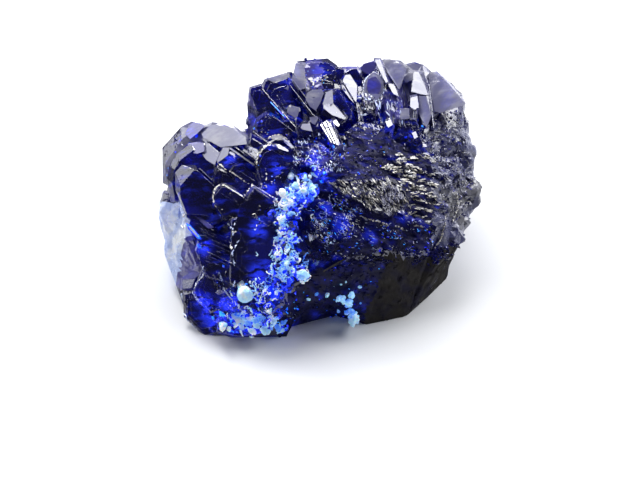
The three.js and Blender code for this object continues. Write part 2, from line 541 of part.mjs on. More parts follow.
// Pale grains. Each is a rough ball: [x, y, depth from the swell, radius].
const seamGrains = [
  [-1.8, 3.9, 0.1, 0.46], [-1, 3.8, 0.15, 0.54], [-1.2, 3.15, 0.22, 0.57], [-0.4, 3, 0.15, 0.52],
  [-2.1, 2.9, 0.15, 0.48], [-1.7, 2.5, 0.2, 0.54], [-0.9, 2.4, 0.15, 0.54], [-2.2, 2.1, 0.15, 0.46],
  [-1.55, 1.7, 0.18, 0.52], [-2.4, 1.3, 0.2, 0.52], [-2.95, 1.6, 0.3, 0.42], [-1.7, 0.9, 0.15, 0.52],
  [-2.2, 0.5, 0.15, 0.5], [-1.6, 0.1, 0.15, 0.5], [-2, -0.4, 0.15, 0.54], [-2.6, -0.8, 0.2, 0.48],
  [-1.7, -1, 0.15, 0.52], [-2.3, -1.4, 0.2, 0.54], [-1.5, -1.8, 0.15, 0.52], [-1.05, -2.2, 0.2, 0.48],
  [-2.9, -1.9, 0.25, 0.48], [-2.1, -2.2, 0.2, 0.54], [-2.8, -2.6, 0.25, 0.48], [-2, -2.9, 0.2, 0.5],
  [-3.2, -3.1, 0.3, 0.48], [-2.6, -3.4, 0.25, 0.48], [-3.6, -3.6, 0.3, 0.5], [-3.1, -4.1, 0.3, 0.5],
  [-4.1, -4.2, 0.35, 0.5], [-3.7, -4.7, 0.3, 0.5], [-4.8, -4.6, 0.35, 0.48], [-5.3, -4.9, 0.35, 0.42],
  [-2.6, -4.6, 0.3, 0.5], [-3.1, -5.1, 0.3, 0.42], [-4.5, -5.1, 0.3, 0.44],
];
const roundGrain = [[-4.63, -3.35, 0.5, 0.46], [-4.8, -2.85, 0.45, 0.3]];
const footGrains = [
  [2.2, -4.7, -1.5, 0.48], [1.7, -4.4, -1.3, 0.4], [1.15, -4.2, -1.2, 0.4], [1.8, -3.9, -1.05, 0.4],
  [1.3, -3.6, -0.9, 0.38], [1.95, -3.4, -0.85, 0.36],
];

function grain([x, y, lift, radius], room, index) {
  const shape = new THREE.IcosahedronGeometry(radius + room, 0);
  const turn = new THREE.Euler(index * 1.3, index * 2.1, index * 0.7);
  const stretch = new THREE.Matrix4().makeScale(1 + 0.12 * Math.sin(index * 5), 1, 1 + 0.12 * Math.cos(index * 3));
  shape.applyMatrix4(stretch);
  shape.applyMatrix4(new THREE.Matrix4().makeRotationFromEuler(turn));
  const centre = seen(x, y, swell(x, y) + lift);
  shape.translate(centre.x, centre.y, centre.z);
  return solidOf(shape);
}

function grainBody(grains, room = 0) {
  return joined(grains.map((one, index) => grain(one, room, index)));
}

// The largest closed shell of a mesh: this drops chips cut loose and pockets sealed inside.
function outerShell({ place, triangles }) {
  const parent = triangles.map((_, index) => index);
  const root = (i) => {
    while (parent[i] !== i) {
      parent[i] = parent[parent[i]];
      i = parent[i];
    }
    return i;
  };
  const edges = new Map();
  triangles.forEach((triangle, index) => {
    for (let k = 0; k < 3; k++) {
      const [a, b] = [triangle[k], triangle[(k + 1) % 3]];
      const key = Math.min(a, b) + "_" + Math.max(a, b);
      if (edges.has(key)) parent[root(index)] = root(edges.get(key));
      else edges.set(key, index);
    }
  });
  const volumes = new Map();
  const point = (i) => new THREE.Vector3().fromArray(place, i * 3);
  triangles.forEach(([a, b, c], index) => {
    const key = root(index);
    volumes.set(key, (volumes.get(key) ?? 0) + point(a).dot(point(b).cross(point(c))));
  });
  const best = [...volumes].sort((p, q) => q[1] - p[1])[0][0];
  return { place, triangles: triangles.filter((_, index) => root(index) === best) };
}

// Closes up the shortest edges, wherever that keeps the shell closed and turns no triangle over.
function closeShortEdges({ place, triangles }) {
  const point = (i) => new THREE.Vector3(place[3 * i], place[3 * i + 1], place[3 * i + 2]);
  const normalOf = ([a, b, c]) => point(b).sub(point(a)).cross(point(c).sub(point(a)));
  let live = triangles;
  for (let pass = 0; pass < 12; pass++) {
    const around = new Map();
    for (const triangle of live) {
      for (const corner of triangle) {
        if (!around.has(corner)) around.set(corner, []);
        around.get(corner).push(triangle);
      }
    }
    const neighbours = (i) => new Set(around.get(i).flat().filter((j) => j !== i));
    const touched = new Set();
    const gone = new Set();
    for (const triangle of live) {
      for (let k = 0; k < 3; k++) {
        const [a, b] = [triangle[k], triangle[(k + 1) % 3]];
        if (a > b || touched.has(a) || touched.has(b)) continue;
        if (point(a).distanceTo(point(b)) >= shortestEdge) continue;
        const ringA = neighbours(a);
        const ringB = neighbours(b);
        const shared = [...ringA].filter((j) => ringB.has(j));
        const flanks = around.get(a).filter((t) => t.includes(b)).flat().filter((j) => j !== a && j !== b);
        if (shared.length !== 2 || new Set(flanks).size !== 2) continue;
        if ([...ringA, ...ringB].some((j) => touched.has(j))) continue;
        const moved = around.get(b).filter((t) => !t.includes(a));
        const safe = moved.every((t) => {
          const before = normalOf(t);
          const after = normalOf(t.map((j) => (j === b ? a : j)));
          return after.length() > 1e-6 && before.normalize().dot(after.normalize()) > 0.5;
        });
        if (!safe) continue;
        for (const t of around.get(b)) {
          if (t.includes(a)) gone.add(t);
          else t[t.indexOf(b)] = a;
        }
        for (const j of [...ringA, ...ringB, a, b]) touched.add(j);
      }
    }
    if (!gone.size) break;
    live = live.filter((t) => !gone.has(t));
  }
  return { place, triangles: live };
}

// Takes out two triangles that lie back to back on the same three corners.
function withoutFins({ place, triangles }) {
  const seenBefore = new Map();
  for (const triangle of triangles) {
    const key = [...triangle].sort((a, b) => a - b).join("_");
    seenBefore.set(key, [...(seenBefore.get(key) ?? []), triangle]);
  }
  return { place, triangles: [...seenBefore.values()].filter((same) => same.length === 1).flat() };
}

function geometryOf(solid) {
  const { vertProperties, triVerts } = solid.getMesh();
  const corners = Array.from({ length: triVerts.length / 3 }, (_, i) => [...triVerts.subarray(3 * i, 3 * i + 3)]);
  const whole = { place: Array.from(vertProperties), triangles: corners };
  const { place, triangles } = outerShell(withoutFins(closeShortEdges(outerShell(whole))));
  const geometry = new THREE.BufferGeometry();
  geometry.setAttribute("position", new THREE.Float32BufferAttribute(place, 3));
  geometry.setIndex(triangles.flat());
  const bare = mergeVertices(geometry.toNonIndexed(), 1e-5);
  bare.computeVertexNormals();
  return bare;
}

function named(name, solid, material) {
  const mesh = new THREE.Mesh(geometryOf(solid), material);
  mesh.name = name;
  return mesh;
}

function belowGround() {
  const slab = new THREE.BoxGeometry(60, 60, 20);
  slab.translate(0, 5, -10);
  return solidOf(slab);
}

const ground = belowGround();
const allGrains = [seamGrains, roundGrain, footGrains];
const pockets = joined(allGrains.map((grains) => grainBody(grains, grainGap)));
const blades = [...leftFan(), ...leftSkirt(), ...rightFan(), ...uprightBlades(), ...brokenFace(), ...stubs()];
const massShapes = mass();
const massBody = new THREE.Group().add(...massShapes.map((shape) => new THREE.Mesh(shape)));
const cluster = joined([...massShapes.map(solidOf), ...blades, ...hiddenBlades(massBody)])
  .subtract(pockets)
  .subtract(ground);

const specimen = new THREE.Group();
specimen.add(named("azurite_cluster", cluster, azuriteMaterial));
specimen.add(named("seam_crust", grainBody(seamGrains).subtract(ground), grainMaterial));
specimen.add(named("round_grain", grainBody(roundGrain), grainMaterial));
specimen.add(named("foot_grains", grainBody(footGrains).subtract(ground), grainMaterial));

// The origin is under the middle of the cluster's box.
const box = new THREE.Box3().setFromObject(specimen);
const middle = box.getCenter(new THREE.Vector3());
specimen.position.set(-middle.x, -middle.y, -box.min.z);

export default specimen;
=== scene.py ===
"""A cluster of azurite blades with pale grains in its seam, dressed over its solid model.

Lengths in the code are millimetres until a place is made, which is in metres. +Y points away from
the front. A drawn place is across and up the view from in front and above, with a depth towards the eye.
"""

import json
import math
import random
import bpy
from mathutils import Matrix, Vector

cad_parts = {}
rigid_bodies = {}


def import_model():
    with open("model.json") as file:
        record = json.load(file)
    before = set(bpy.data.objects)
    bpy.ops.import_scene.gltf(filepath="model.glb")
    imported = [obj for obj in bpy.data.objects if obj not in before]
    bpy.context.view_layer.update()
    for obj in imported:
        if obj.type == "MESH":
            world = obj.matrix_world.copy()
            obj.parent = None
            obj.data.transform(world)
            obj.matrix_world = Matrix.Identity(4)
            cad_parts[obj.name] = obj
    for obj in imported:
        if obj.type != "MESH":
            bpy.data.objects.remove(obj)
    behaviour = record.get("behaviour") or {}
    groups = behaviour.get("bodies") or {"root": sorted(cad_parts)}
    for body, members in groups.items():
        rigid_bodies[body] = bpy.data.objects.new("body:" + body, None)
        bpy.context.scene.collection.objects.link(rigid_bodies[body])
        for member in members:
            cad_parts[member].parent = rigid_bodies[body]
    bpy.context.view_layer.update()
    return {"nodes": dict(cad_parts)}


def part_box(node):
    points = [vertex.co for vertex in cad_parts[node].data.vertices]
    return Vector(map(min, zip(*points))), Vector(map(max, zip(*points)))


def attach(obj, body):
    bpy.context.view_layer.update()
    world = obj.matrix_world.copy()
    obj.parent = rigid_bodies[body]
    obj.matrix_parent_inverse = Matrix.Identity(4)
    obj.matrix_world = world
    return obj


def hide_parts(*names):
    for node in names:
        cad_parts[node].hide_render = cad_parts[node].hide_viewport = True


bl_info = {
    "name": "Azurite Cluster",
    "version": (1, 0, 0),
    "blender": (4, 5, 0),
    "location": "3D View > Sidebar > Azurite",
    "description": "Builds a cluster of clear blue blades with pale grains grown into its seam",
    "category": "Object",
}

import bmesh
import bpy
from bpy.props import FloatProperty, FloatVectorProperty, PointerProperty
from mathutils import Matrix, Vector, noise
from mathutils.bvhtree import BVHTree

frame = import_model()

MM = 0.001

# How the front is drawn: the pitch of the view, the distance of the eye and the height it looks at,
# then how far the whole specimen is moved from there.
LOOK_DOWN = math.radians(47.3)
EYE_DISTANCE = 40.0
MIDDLE_HEIGHT = 5.6
SPECIMEN_SHIFT = Vector((-0.0968, -5.3225, 0))
UP = Vector((0, math.sin(LOOK_DOWN), math.cos(LOOK_DOWN)))
TOWARDS_EYE = Vector((0, -math.cos(LOOK_DOWN), math.sin(LOOK_DOWN)))
# The camera: the picture's width and the focal length in pixels, and the sensor's width.
PICTURE_WIDTH = 640
FOCAL_PIXELS = 650
SENSOR_WIDTH = 36

# Corners of the solid that are this near to one another, in metres, are one corner.
WELD = 1e-6
# Edges of an outline that turn less than this run straight on.
STRAIGHT = 1e-6
# Crystals and grains stay at least this high above the floor.
LOWEST_CRYSTAL = 0.03
LOWEST_GRAIN = 0.02
# How far ground has to turn towards the eye to carry shards and chips.
STEEPEST = 0.42

CLEAR, BROKEN, FROSTED, PAINTED_HIGHLIGHT, PAINTED_SHADE_UNDERSIDE, PAINTED_GLINT, VIOLET, PAINTED_LIGHT_THROUGH, PAINTED_GREY_SHEEN, PAINTED_SILVER_SHEEN, PAINTED_ASH_SHEEN = range(11)
ROUGH_FINISHES = (BROKEN, FROSTED, PAINTED_SHADE_UNDERSIDE, VIOLET, PAINTED_LIGHT_THROUGH, PAINTED_SILVER_SHEEN)
WHITE_GRAIN, SKY_GRAIN, DEEP_GRAIN = range(3)


def drawn(x, y, depth):
    """The place, in metres, of a point across and up the drawing and a depth towards the eye."""
    spread = (EYE_DISTANCE - depth) / EYE_DISTANCE
    place = Vector((x * spread, 0, MIDDLE_HEIGHT)) + UP * (y * spread) + TOWARDS_EYE * depth
    return (place + SPECIMEN_SHIFT) * MM


EYE = drawn(0, 0, EYE_DISTANCE)


def seen_place(place):
    """Across, up and the depth towards the eye, in the drawing's millimetres, of a place."""
    offset = place / MM - SPECIMEN_SHIFT - Vector((0, 0, MIDDLE_HEIGHT))
    depth = offset.dot(TOWARDS_EYE)
    spread = (EYE_DISTANCE - depth) / EYE_DISTANCE
    return offset.x / spread, offset.dot(UP) / spread, depth


def solid_tree(*names):
    """A tree for finding where a line meets these nodes of the solid model."""
    corners, faces = [], []
    for name in names:
        data = frame["nodes"][name].data
        start = len(corners)
        corners.extend(v.co.copy() for v in data.vertices)
        faces.extend([start + i for i in p.vertices] for p in data.polygons)
    return BVHTree.FromPolygons(corners, faces)


WHOLE = solid_tree("azurite_cluster", "seam_crust", "round_grain", "foot_grains")


def touch(x, y, tree):
    """Where the line of sight through a drawn place meets a tree, and the face's direction there."""
    hit, normal, _, _ = tree.ray_cast(EYE, (drawn(x, y, 0) - EYE).normalized())
    return hit, normal


def facing(direction):
    """The slopes of a facet that shows the eye what lies in this direction."""
    seen = Vector((direction.x, direction.dot(UP), direction.dot(TOWARDS_EYE))).normalized()
    half = seen + Vector((0, 0, 1))
    return (-half.x / half.z, -half.y / half.z)


def centre(outline):
    """The middle of an outline's corners."""
    return (sum(x for x, _ in outline) / len(outline), sum(y for _, y in outline) / len(outline))


def shrunk(x, y, middle, share):
    """A corner of an outline moved towards a middle place, to this share of its distance."""
    return middle[0] + (x - middle[0]) * share, middle[1] + (y - middle[1]) * share


def widened(outline, widths):
    """An outline with every edge moved outwards by its own width. The outline runs against the clock."""
    lines = []
    for (x0, y0), (x1, y1), width in zip(outline, [*outline[1:], outline[0]], widths):
        along = Vector((x1 - x0, y1 - y0)).normalized()
        outward = Vector((along.y, -along.x))
        lines.append((Vector((x0, y0)) + outward * width, along))
    corners = []
    for (a, along), (b, other) in zip([lines[-1], *lines[:-1]], lines):
        turn = along.cross(other)
        corner = a + along * ((b - a).cross(other) / turn) if abs(turn) > STRAIGHT else b
        corners.append(tuple(corner))
    return corners


def inside(x, y, region):
    """Whether a drawn place is inside a region, by counting the edges that a line across it meets."""
    odd = False
    for (x0, y0), (x1, y1) in zip(region, [*region[1:], region[0]]):
        if (y0 > y) != (y1 > y) and x < x0 + (y - y0) / (y1 - y0) * (x1 - x0):
            odd = not odd
    return odd


def any_turn(rng):
    """A turn by any angle about any line."""
    return Matrix.Rotation(rng.uniform(0, math.tau), 3, Vector([rng.gauss(0, 1) for _ in range(3)]))


def chip_points(middle, size, flat, rng):
    """The corners of a small blocky crystal with a wedge for a tip."""
    turn = any_turn(rng)
    long, wide = size * rng.uniform(0.8, 1.4), size * rng.uniform(0.5, 0.9)
    thin = size * flat * rng.uniform(0.4, 0.9)
    foot = [(-long, -wide, -thin), (-long, wide, -thin), (-long, wide, thin), (-long, -wide, thin)]
    shoulders = [
        (long * 0.6, -wide * 0.9, -thin), (long * 0.6, wide * 0.7, -thin),
        (long * 0.7, wide * 0.7, thin), (long * 0.55, -wide * 0.8, thin),
    ]
    tip = (long, 0, thin * 0.3)
    return [middle + turn @ Vector(corner) for corner in (*foot, *shoulders, tip)]


class Crystals:
    """Closed convex crystals, gathered to be joined with a body into one closed solid.

    They wait in layers. No two crystals of a layer touch, so each layer is a clean operand.
    """

    CELL = 0.22 * MM

    def __init__(self, finishes):
        self.finishes = finishes
        self.layers = []

    def add(self, points, bevel=0.0, finish=CLEAR):
        """Adds the convex crystal round these points, with cut edges when a bevel is given."""
        bm = bmesh.new()
        for point in points:
            bm.verts.new((point.x, point.y, max(point.z, LOWEST_CRYSTAL * MM)))
        found = bmesh.ops.convex_hull(bm, input=bm.verts)
        spare = {*found["geom_interior"], *found["geom_unused"]}
        loose = [one for one in spare if isinstance(one, bmesh.types.BMVert)]
        bmesh.ops.delete(bm, geom=loose, context="VERTS")
        if bevel:
            bmesh.ops.dissolve_limit(bm, angle_limit=math.radians(1), verts=bm.verts, edges=bm.edges)
            bmesh.ops.bevel(
                bm, geom=bm.edges[:], offset=bevel * MM, affect="EDGES", segments=1, profile=0.5,
                material=-1, clamp_overlap=True,
            )
        bmesh.ops.recalc_face_normals(bm, faces=bm.faces)
        bm.verts.index_update()
        corners = [v.co.copy() for v in bm.verts]
        faces = [[v.index for v in face.verts] for face in bm.faces]
        bm.free()
        self.lay(corners, faces, finish)

    def lay(self, corners, faces, finish):
        """Puts a crystal in the first layer where its cells are free."""
        rows = []
        for axis in range(3):
            low = math.floor(min(corner[axis] for corner in corners) / self.CELL)
            high = math.floor(max(corner[axis] for corner in corners) / self.CELL)
            rows.append(range(low, high + 1))
        cells = {(i, j, k) for i in rows[0] for j in rows[1] for k in rows[2]}
        for layer in self.layers:
            if layer["cells"].isdisjoint(cells):
                break
        else:
            layer = {"cells": set(), "corners": [], "faces": [], "finishes": []}
            self.layers.append(layer)
        start = len(layer["corners"])
        layer["cells"] |= cells
        layer["corners"].extend(corners)
        layer["faces"].extend([start + i for i in face] for face in faces)
        layer["finishes"].extend([finish] * len(faces))

    def object_of(self, layer):
        """A layer as an object of its own."""
        mesh = bpy.data.meshes.new("layer")
        mesh.from_pydata(layer["corners"], [], layer["faces"])
        mesh.polygons.foreach_set("material_index", layer["finishes"])
        for finish in self.finishes:
            mesh.materials.append(finish)
        return bpy.data.objects.new("layer", mesh)

    def joined(self):
        """The mesh of every crystal joined to the others."""
        first = self.object_of(self.layers.pop(0))
        bpy.context.scene.collection.objects.link(first)
        return self.joined_with(first)

    def joined_with(self, body):
        """The mesh of the body with every crystal joined to it."""
        waiting = bpy.data.collections.new("waiting")
        bpy.context.scene.collection.children.link(waiting)
        for layer in self.layers:
            waiting.objects.link(self.object_of(layer))
        union = body.modifiers.new("union", "BOOLEAN")
        union.operation = "UNION"
        union.solver = "MANIFOLD"
        union.operand_type = "COLLECTION"
        union.collection = waiting
        graph = bpy.context.evaluated_depsgraph_get()
        mesh = bpy.data.meshes.new_from_object(body.evaluated_get(graph))
        for operand in [*waiting.objects, body]:
            data = operand.data
            bpy.data.objects.remove(operand)
            bpy.data.meshes.remove(data)
        bpy.data.collections.remove(waiting)
        return mesh


class Drawing:
    """Puts crystals on the front, from outlines drawn across and up the view."""

    # Plates, facets and growth steps: how deep the foot lies, its share of the outline, the bevel.
    PLATE_FOOT, PLATE_SHARE, PLATE_BEVEL = 0.5, 0.92, 0.02
    FACET_FOOT, FACET_SHARE, FACET_BEVEL = 0.7, 0.96, 0.015
    STEP_FOOT, STEP_SHARE, STEP_BEVEL = 0.4, 0.74, 0.012
    STEP_LIFT = 0.02
    STEP_RISE = 0.025
    BAR_LIFT = 0.03
    # The share of the ground under it that a facet clears.
    FACET_CLEARS = 0.9
    # The distance between the shards of a torn edge, and the number of shards that make a ridge.
    EDGE_SPACING = 0.09
    RIDGE_SHARDS = 9
    # A shard stands out by this share of its width, and its foot lies this deep.
    SHARD_LIFT = 0.45
    SHARD_FOOT = 0.3
    # Strewn crystals come in patches: how many to the millimetre, and how blurred their borders are.
    PATCHES = 1.9
    PATCH_BLUR = 0.16

    def __init__(self, crystals, ground, seed):
        self.crystals = crystals
        self.ground = ground
        self.random = random.Random(seed)

    def clear_depth(self, outline, slopes=(0.0, 0.0), share=0.5):
        """The depth of a plane of these slopes that clears this share of the ground under an outline."""
        cx, cy = centre(outline)
        needed = []
        for x, y in [*outline, (cx, cy), *(((x + cx) / 2, (y + cy) / 2) for x, y in outline)]:
            hit, _ = touch(x, y, self.ground)
            if hit is not None:
                needed.append(seen_place(hit)[2] - slopes[0] * (x - cx) - slopes[1] * (y - cy))
        if not needed:
            raise RuntimeError(f"no ground lies under the outline round {centre(outline)}")
        return sorted(needed)[min(len(needed) - 1, int(len(needed) * share))]

    def near(self, direction, wander):
        """A direction that wanders a little from another."""
        return direction + Vector([self.random.gauss(0, wander) for _ in range(3)])

    def plate(self, face, widths, lift, fall):
        """A plate's flat face, as far out as the lift says, with a bevel of its own width on each edge."""
        middle = centre(face)
        level = self.clear_depth(face) + lift
        points = [drawn(x, y, level) for x, y in face]
        for x, y in widened(face, widths):
            points.append(drawn(x, y, level - fall))
            points.append(drawn(*shrunk(x, y, middle, self.PLATE_SHARE), level - fall - self.PLATE_FOOT))
        self.crystals.add(points, self.PLATE_BEVEL)

    def facet(self, outline, shows, lift, finish):
        """A wedge whose flat face shows the eye what lies in a direction."""
        slopes = facing(shows)
        cx, cy = centre(outline)
        base = self.clear_depth(outline, slopes, self.FACET_CLEARS) + lift
        points = []
        for x, y in outline:
            level = base + slopes[0] * (x - cx) + slopes[1] * (y - cy)
            points.append(drawn(x, y, level))
            points.append(drawn(*shrunk(x, y, (cx, cy), self.FACET_SHARE), level - self.FACET_FOOT))
        self.crystals.add(points, self.FACET_BEVEL, finish)

    def terraces(self, outline, count, shift):
        """Growth steps: the outline again and again, each smaller and a little further out."""
        middle = centre(outline)
        base = self.clear_depth(outline) + self.STEP_LIFT
        for step in range(count):
            share = self.STEP_SHARE ** step * self.random.uniform(0.95, 1.0)
            points = []
            for corner in outline:
                x, y = shrunk(*corner, middle, share)
                x, y = x + shift[0] * step, y + shift[1] * step
                points.append(drawn(x, y, base + self.STEP_RISE * (step + 1)))
                points.append(drawn(x, y, base - self.STEP_FOOT))
            self.crystals.add(points, self.STEP_BEVEL)

    def bar(self, start, end, width, shows, finish):
        """A straight narrow facet along a line."""
        (x0, y0), (x1, y1) = start, end
        length = math.hypot(x1 - x0, y1 - y0)
        sx, sy = -(y1 - y0) / length * width / 2, (x1 - x0) / length * width / 2
        outline = [(x0 + sx, y0 + sy), (x1 + sx, y1 + sy), (x1 - sx, y1 - sy), (x0 - sx, y0 - sy)]
        self.facet(outline, shows, self.BAR_LIFT, finish)

    def stroke(self, x, y, angle, length, width, rise, finish):
        """A slim crystal, pointed at both ends, lying along an angle of the drawing."""
        hit, normal = touch(x, y, self.ground)
        if hit is None:
            return
        turn = math.radians(angle)
        normal = (normal + TOWARDS_EYE * 0.6).normalized()
        along = Vector((math.cos(turn), 0, 0)) + UP * math.sin(turn)
        along = (along - normal * along.dot(normal)).normalized()
        side = normal.cross(along)
        rng = self.random
        half, wide = length / 2 * MM, width / 2 * MM
        crest = hit + normal * rise * MM + along * half * rng.uniform(-0.4, 0.4)
        crest += side * wide * rng.uniform(-0.5, 0.5)
        points = [hit + along * half, hit - along * half, crest, hit - normal * rise * 2 * MM]
        flanks = ((rng.uniform(0, 0.5), 1), (rng.uniform(-0.5, 0), 1), (rng.uniform(-0.5, 0.5), -1))
        for share, way in flanks:
            points.append(hit + along * half * share + side * wide * way)
        points.append(crest + along * half * rng.uniform(0.1, 0.4) - normal * rise * 0.3 * MM)
        self.crystals.add(points, finish=finish)

    def strokes(self, region, count, angle, swing, length, width, rise, finishes):
        """Slim crystals strewn over a region, near one angle of the drawing."""
        rng = self.random
        for x, y in self.spots(region, count):
            size = rng.uniform(0.6, 1.5)
            self.stroke(
                x, y, angle + rng.gauss(0, swing), length * size, width * rng.uniform(0.7, 1.3),
                rise * rng.uniform(0.6, 1.3), rng.choice(finishes),
            )

    def shard(self, x, y, angle, length, width, shows, finish):
        """A small flat facet, pointed at both ends, that shows the eye what lies in a direction."""
        turn = math.radians(angle)
        along = Vector((math.cos(turn), math.sin(turn))) * length / 2
        across = Vector((-math.sin(turn), math.cos(turn))) * width / 2
        middle = Vector((x, y))
        lean = self.random.uniform(-0.5, 0.5)
        corners = [
            middle + along, middle + along * lean + across, middle - along, middle - along * lean - across,
        ]
        slopes = facing(shows)
        hit, normal = touch(x, y, self.ground)
        if hit is None or normal.dot(TOWARDS_EYE) < STEEPEST:
            return
        level = seen_place(hit)[2] + self.SHARD_LIFT * width
        points = []
        for corner in corners:
            lift = slopes[0] * (corner.x - x) + slopes[1] * (corner.y - y)
            points.append(drawn(corner.x, corner.y, level + lift))
        points.append(drawn(x, y, level - self.SHARD_FOOT))
        self.crystals.add(points, finish=finish)

    def shards(self, region, count, angle, swing, length, width, shows, finishes, wander):
        """Small flat facets strewn over a region, all turned nearly the same way."""
        rng = self.random
        for x, y in self.spots(region, count):
            size = rng.uniform(0.6, 1.5)
            towards = self.near(shows, wander)
            self.shard(
                x, y, angle + rng.gauss(0, swing), length * size, width * rng.uniform(0.6, 1.4),
                towards, rng.choice(finishes),
            )

    def rows(self, rows, shows, finishes):
        """Rows of short slim ridges: start, end, number, length and width."""
        rng = self.random
        for (x0, y0), (x1, y1), count, length, width in rows:
            angle = math.degrees(math.atan2(y1 - y0, x1 - x0))
            for i in range(count):
                share = (i + rng.uniform(0.1, 0.9)) / count
                x, y = x0 + (x1 - x0) * share, y0 + (y1 - y0) * share + rng.gauss(0, 0.06)
                for _ in range(self.RIDGE_SHARDS):
                    towards = self.near(shows, 0.22)
                    self.shard(
                        x + rng.gauss(0, length * 0.35), y + rng.gauss(0, width * 0.4),
                        angle + rng.gauss(0, 16), length * rng.uniform(0.2, 1.2),
                        width * rng.uniform(0.3, 1.0), towards, rng.choice(finishes),
                    )

    def edge(self, line, finish, width, gaps=0.15):
        """A torn bright edge along a line of points."""
        rng = self.random
        for (x0, y0), (x1, y1) in zip(line, line[1:]):
            angle = math.degrees(math.atan2(y1 - y0, x1 - x0))
            count = max(1, round(math.hypot(x1 - x0, y1 - y0) / self.EDGE_SPACING))
            for i in range(count):
                if rng.random() < gaps:
                    continue
                share = (i + rng.uniform(0.2, 0.8)) / count
                towards = self.near(BACK, 0.25)
                self.shard(
                    x0 + (x1 - x0) * share + rng.gauss(0, 0.02),
                    y0 + (y1 - y0) * share + rng.gauss(0, 0.02),
                    angle + rng.gauss(0, 16), rng.uniform(0.1, 0.28), width * rng.uniform(0.4, 1.7),
                    towards, finish,
                )

    def spots(self, region, count):
        """Places strewn in patches over a region of the drawing."""
        xs, ys = [p[0] for p in region], [p[1] for p in region]
        found = 0
        while found < count:
            x, y = self.random.uniform(min(xs), max(xs)), self.random.uniform(min(ys), max(ys))
            patch = noise.noise(Vector((x * self.PATCHES, y * self.PATCHES, count)))
            if patch > self.random.gauss(0, self.PATCH_BLUR) and inside(x, y, region):
                found += 1
                yield x, y

    def chips(self, region, count, low, high, finishes, flat=0.6):
        """Small angular crystals strewn over a region of the drawing, turned at random."""
        rng = self.random
        for x, y in self.spots(region, count):
            hit, normal = touch(x, y, self.ground)
            if hit is None or normal.dot(TOWARDS_EYE) < STEEPEST:
                continue
            size = rng.uniform(low, high) * MM
            points = chip_points(hit - normal * size * 0.3, size, flat, rng)
            self.crystals.add(points, finish=rng.choice(finishes))


# The soft boxes: place, width, height, brightness and colour. Facets are turned to show them.
SOFT_BOXES = {
    "left": (Vector((-90, 25, 80)), 75, 60, 3.6, (0.94, 0.95, 1.0)),
    "back": (Vector((-5, 65, 105)), 80, 60, 8.0, (1.0, 1.0, 1.0)),
    "right": (Vector((80, 38, 85)), 75, 60, 7.5, (0.97, 0.98, 1.0)),
    "key": (Vector((-38, 62, 84)), 34, 26, 20.0, (1.0, 1.0, 1.0)),
}
LEFT, BACK, RIGHT, KEY = (box[0].normalized() for box in SOFT_BOXES.values())
SKY = Vector((0.05, 0.1, 1.0))
FRONT = TOWARDS_EYE

# The left fan's nested plates, back to front: flat face, width of the bevel along each edge, lift, height.
LEFT_PLATES = [
    (
        [(-7.6, 5.53), (-7.78, 5.53), (-8.58, 4.92), (-8.95, 4.34), (-9.08, 3.5), (-8.9, 2.4), (-6.4, 2.2),
         (-6.1, 4.2)],
        [0.44, 0.45, 0.42, 0.4, 0.3, 0.1, 0.1, 0.78], 0.26, 0.36,
    ),
    (
        [(-7.56, 4.3), (-7.72, 4.3), (-8.6, 3.3), (-8.58, 2.6), (-8.2, 1.6), (-6.6, 1.5), (-6.45, 3.25)],
        [0.33, 0.8, 0.3, 0.12, 0.08, 0.08, 0.16], 0.6, 0.42,
    ),
]

# Growth steps on the dark faces: outline, number of steps, shift of each step.
STEPPED_FACES = [
    ([(-6.45, 2.3), (-6.5, 2.75), (-6.05, 3.3), (-5.8, 3.25), (-4.8, 2.5), (-4.75, 1.7), (-5.8, 1.4)],
     1, (0.06, -0.06)),
    ([(-3.8, 4.7), (-3.45, 5.4), (-3.0, 5.6), (-2.3, 5.2), (-1.7, 4.4), (-2.4, 3.0), (-3.4, 3.3)],
     1, (0.12, -0.16)),
    ([(-6.2, 4.3), (-6.3, 3.5), (-6.0, 3.7), (-5.0, 3.3), (-4.9, 3.3), (-5.6, 4.1)], 2, (0.05, -0.05)),
    ([(-3.3, 9.2), (-3.1, 9.6), (-2.1, 9.9), (-2.1, 9.3), (-1.8, 8.4), (-2.3, 7.9), (-2.9, 8.6)],
     2, (0.1, -0.14)),
    ([(-4.2, 8.7), (-4.1, 9.2), (-3.7, 9.3), (-2.7, 7.9), (-3.2, 7.7), (-3.8, 8.1)], 1, (0.05, -0.06)),
    ([(-8.0, 1.3), (-7.4, 1.2), (-6.6, 0.7), (-6.5, -0.3), (-7.6, -0.3), (-8.1, 0.8)], 2, (0.08, -0.06)),
    ([(-6.9, -1.7), (-7.5, -3.1), (-7.2, -3.6), (-6.6, -4.1), (-5.6, -3.6), (-5.7, -2.6)], 2, (0.05, 0.05)),
    ([(-8.2, -3.6), (-7.6, -3.6), (-6.9, -4.6), (-6.7, -5.4), (-7.3, -5.5), (-8.2, -4.6)], 2, (0.06, 0.05)),
    ([(-5.2, 1.0), (-4.9, 2.2), (-4.2, 2.6), (-3.0, 1.9), (-3.0, 0.4), (-4.6, -0.2)], 1, (0.05, -0.08)),
    ([(-5.2, -0.6), (-4.4, -0.2), (-3.0, 0.1), (-3.1, -1.4), (-4.6, -2.2), (-5.2, -1.6)], 2, (0.1, -0.1)),
]

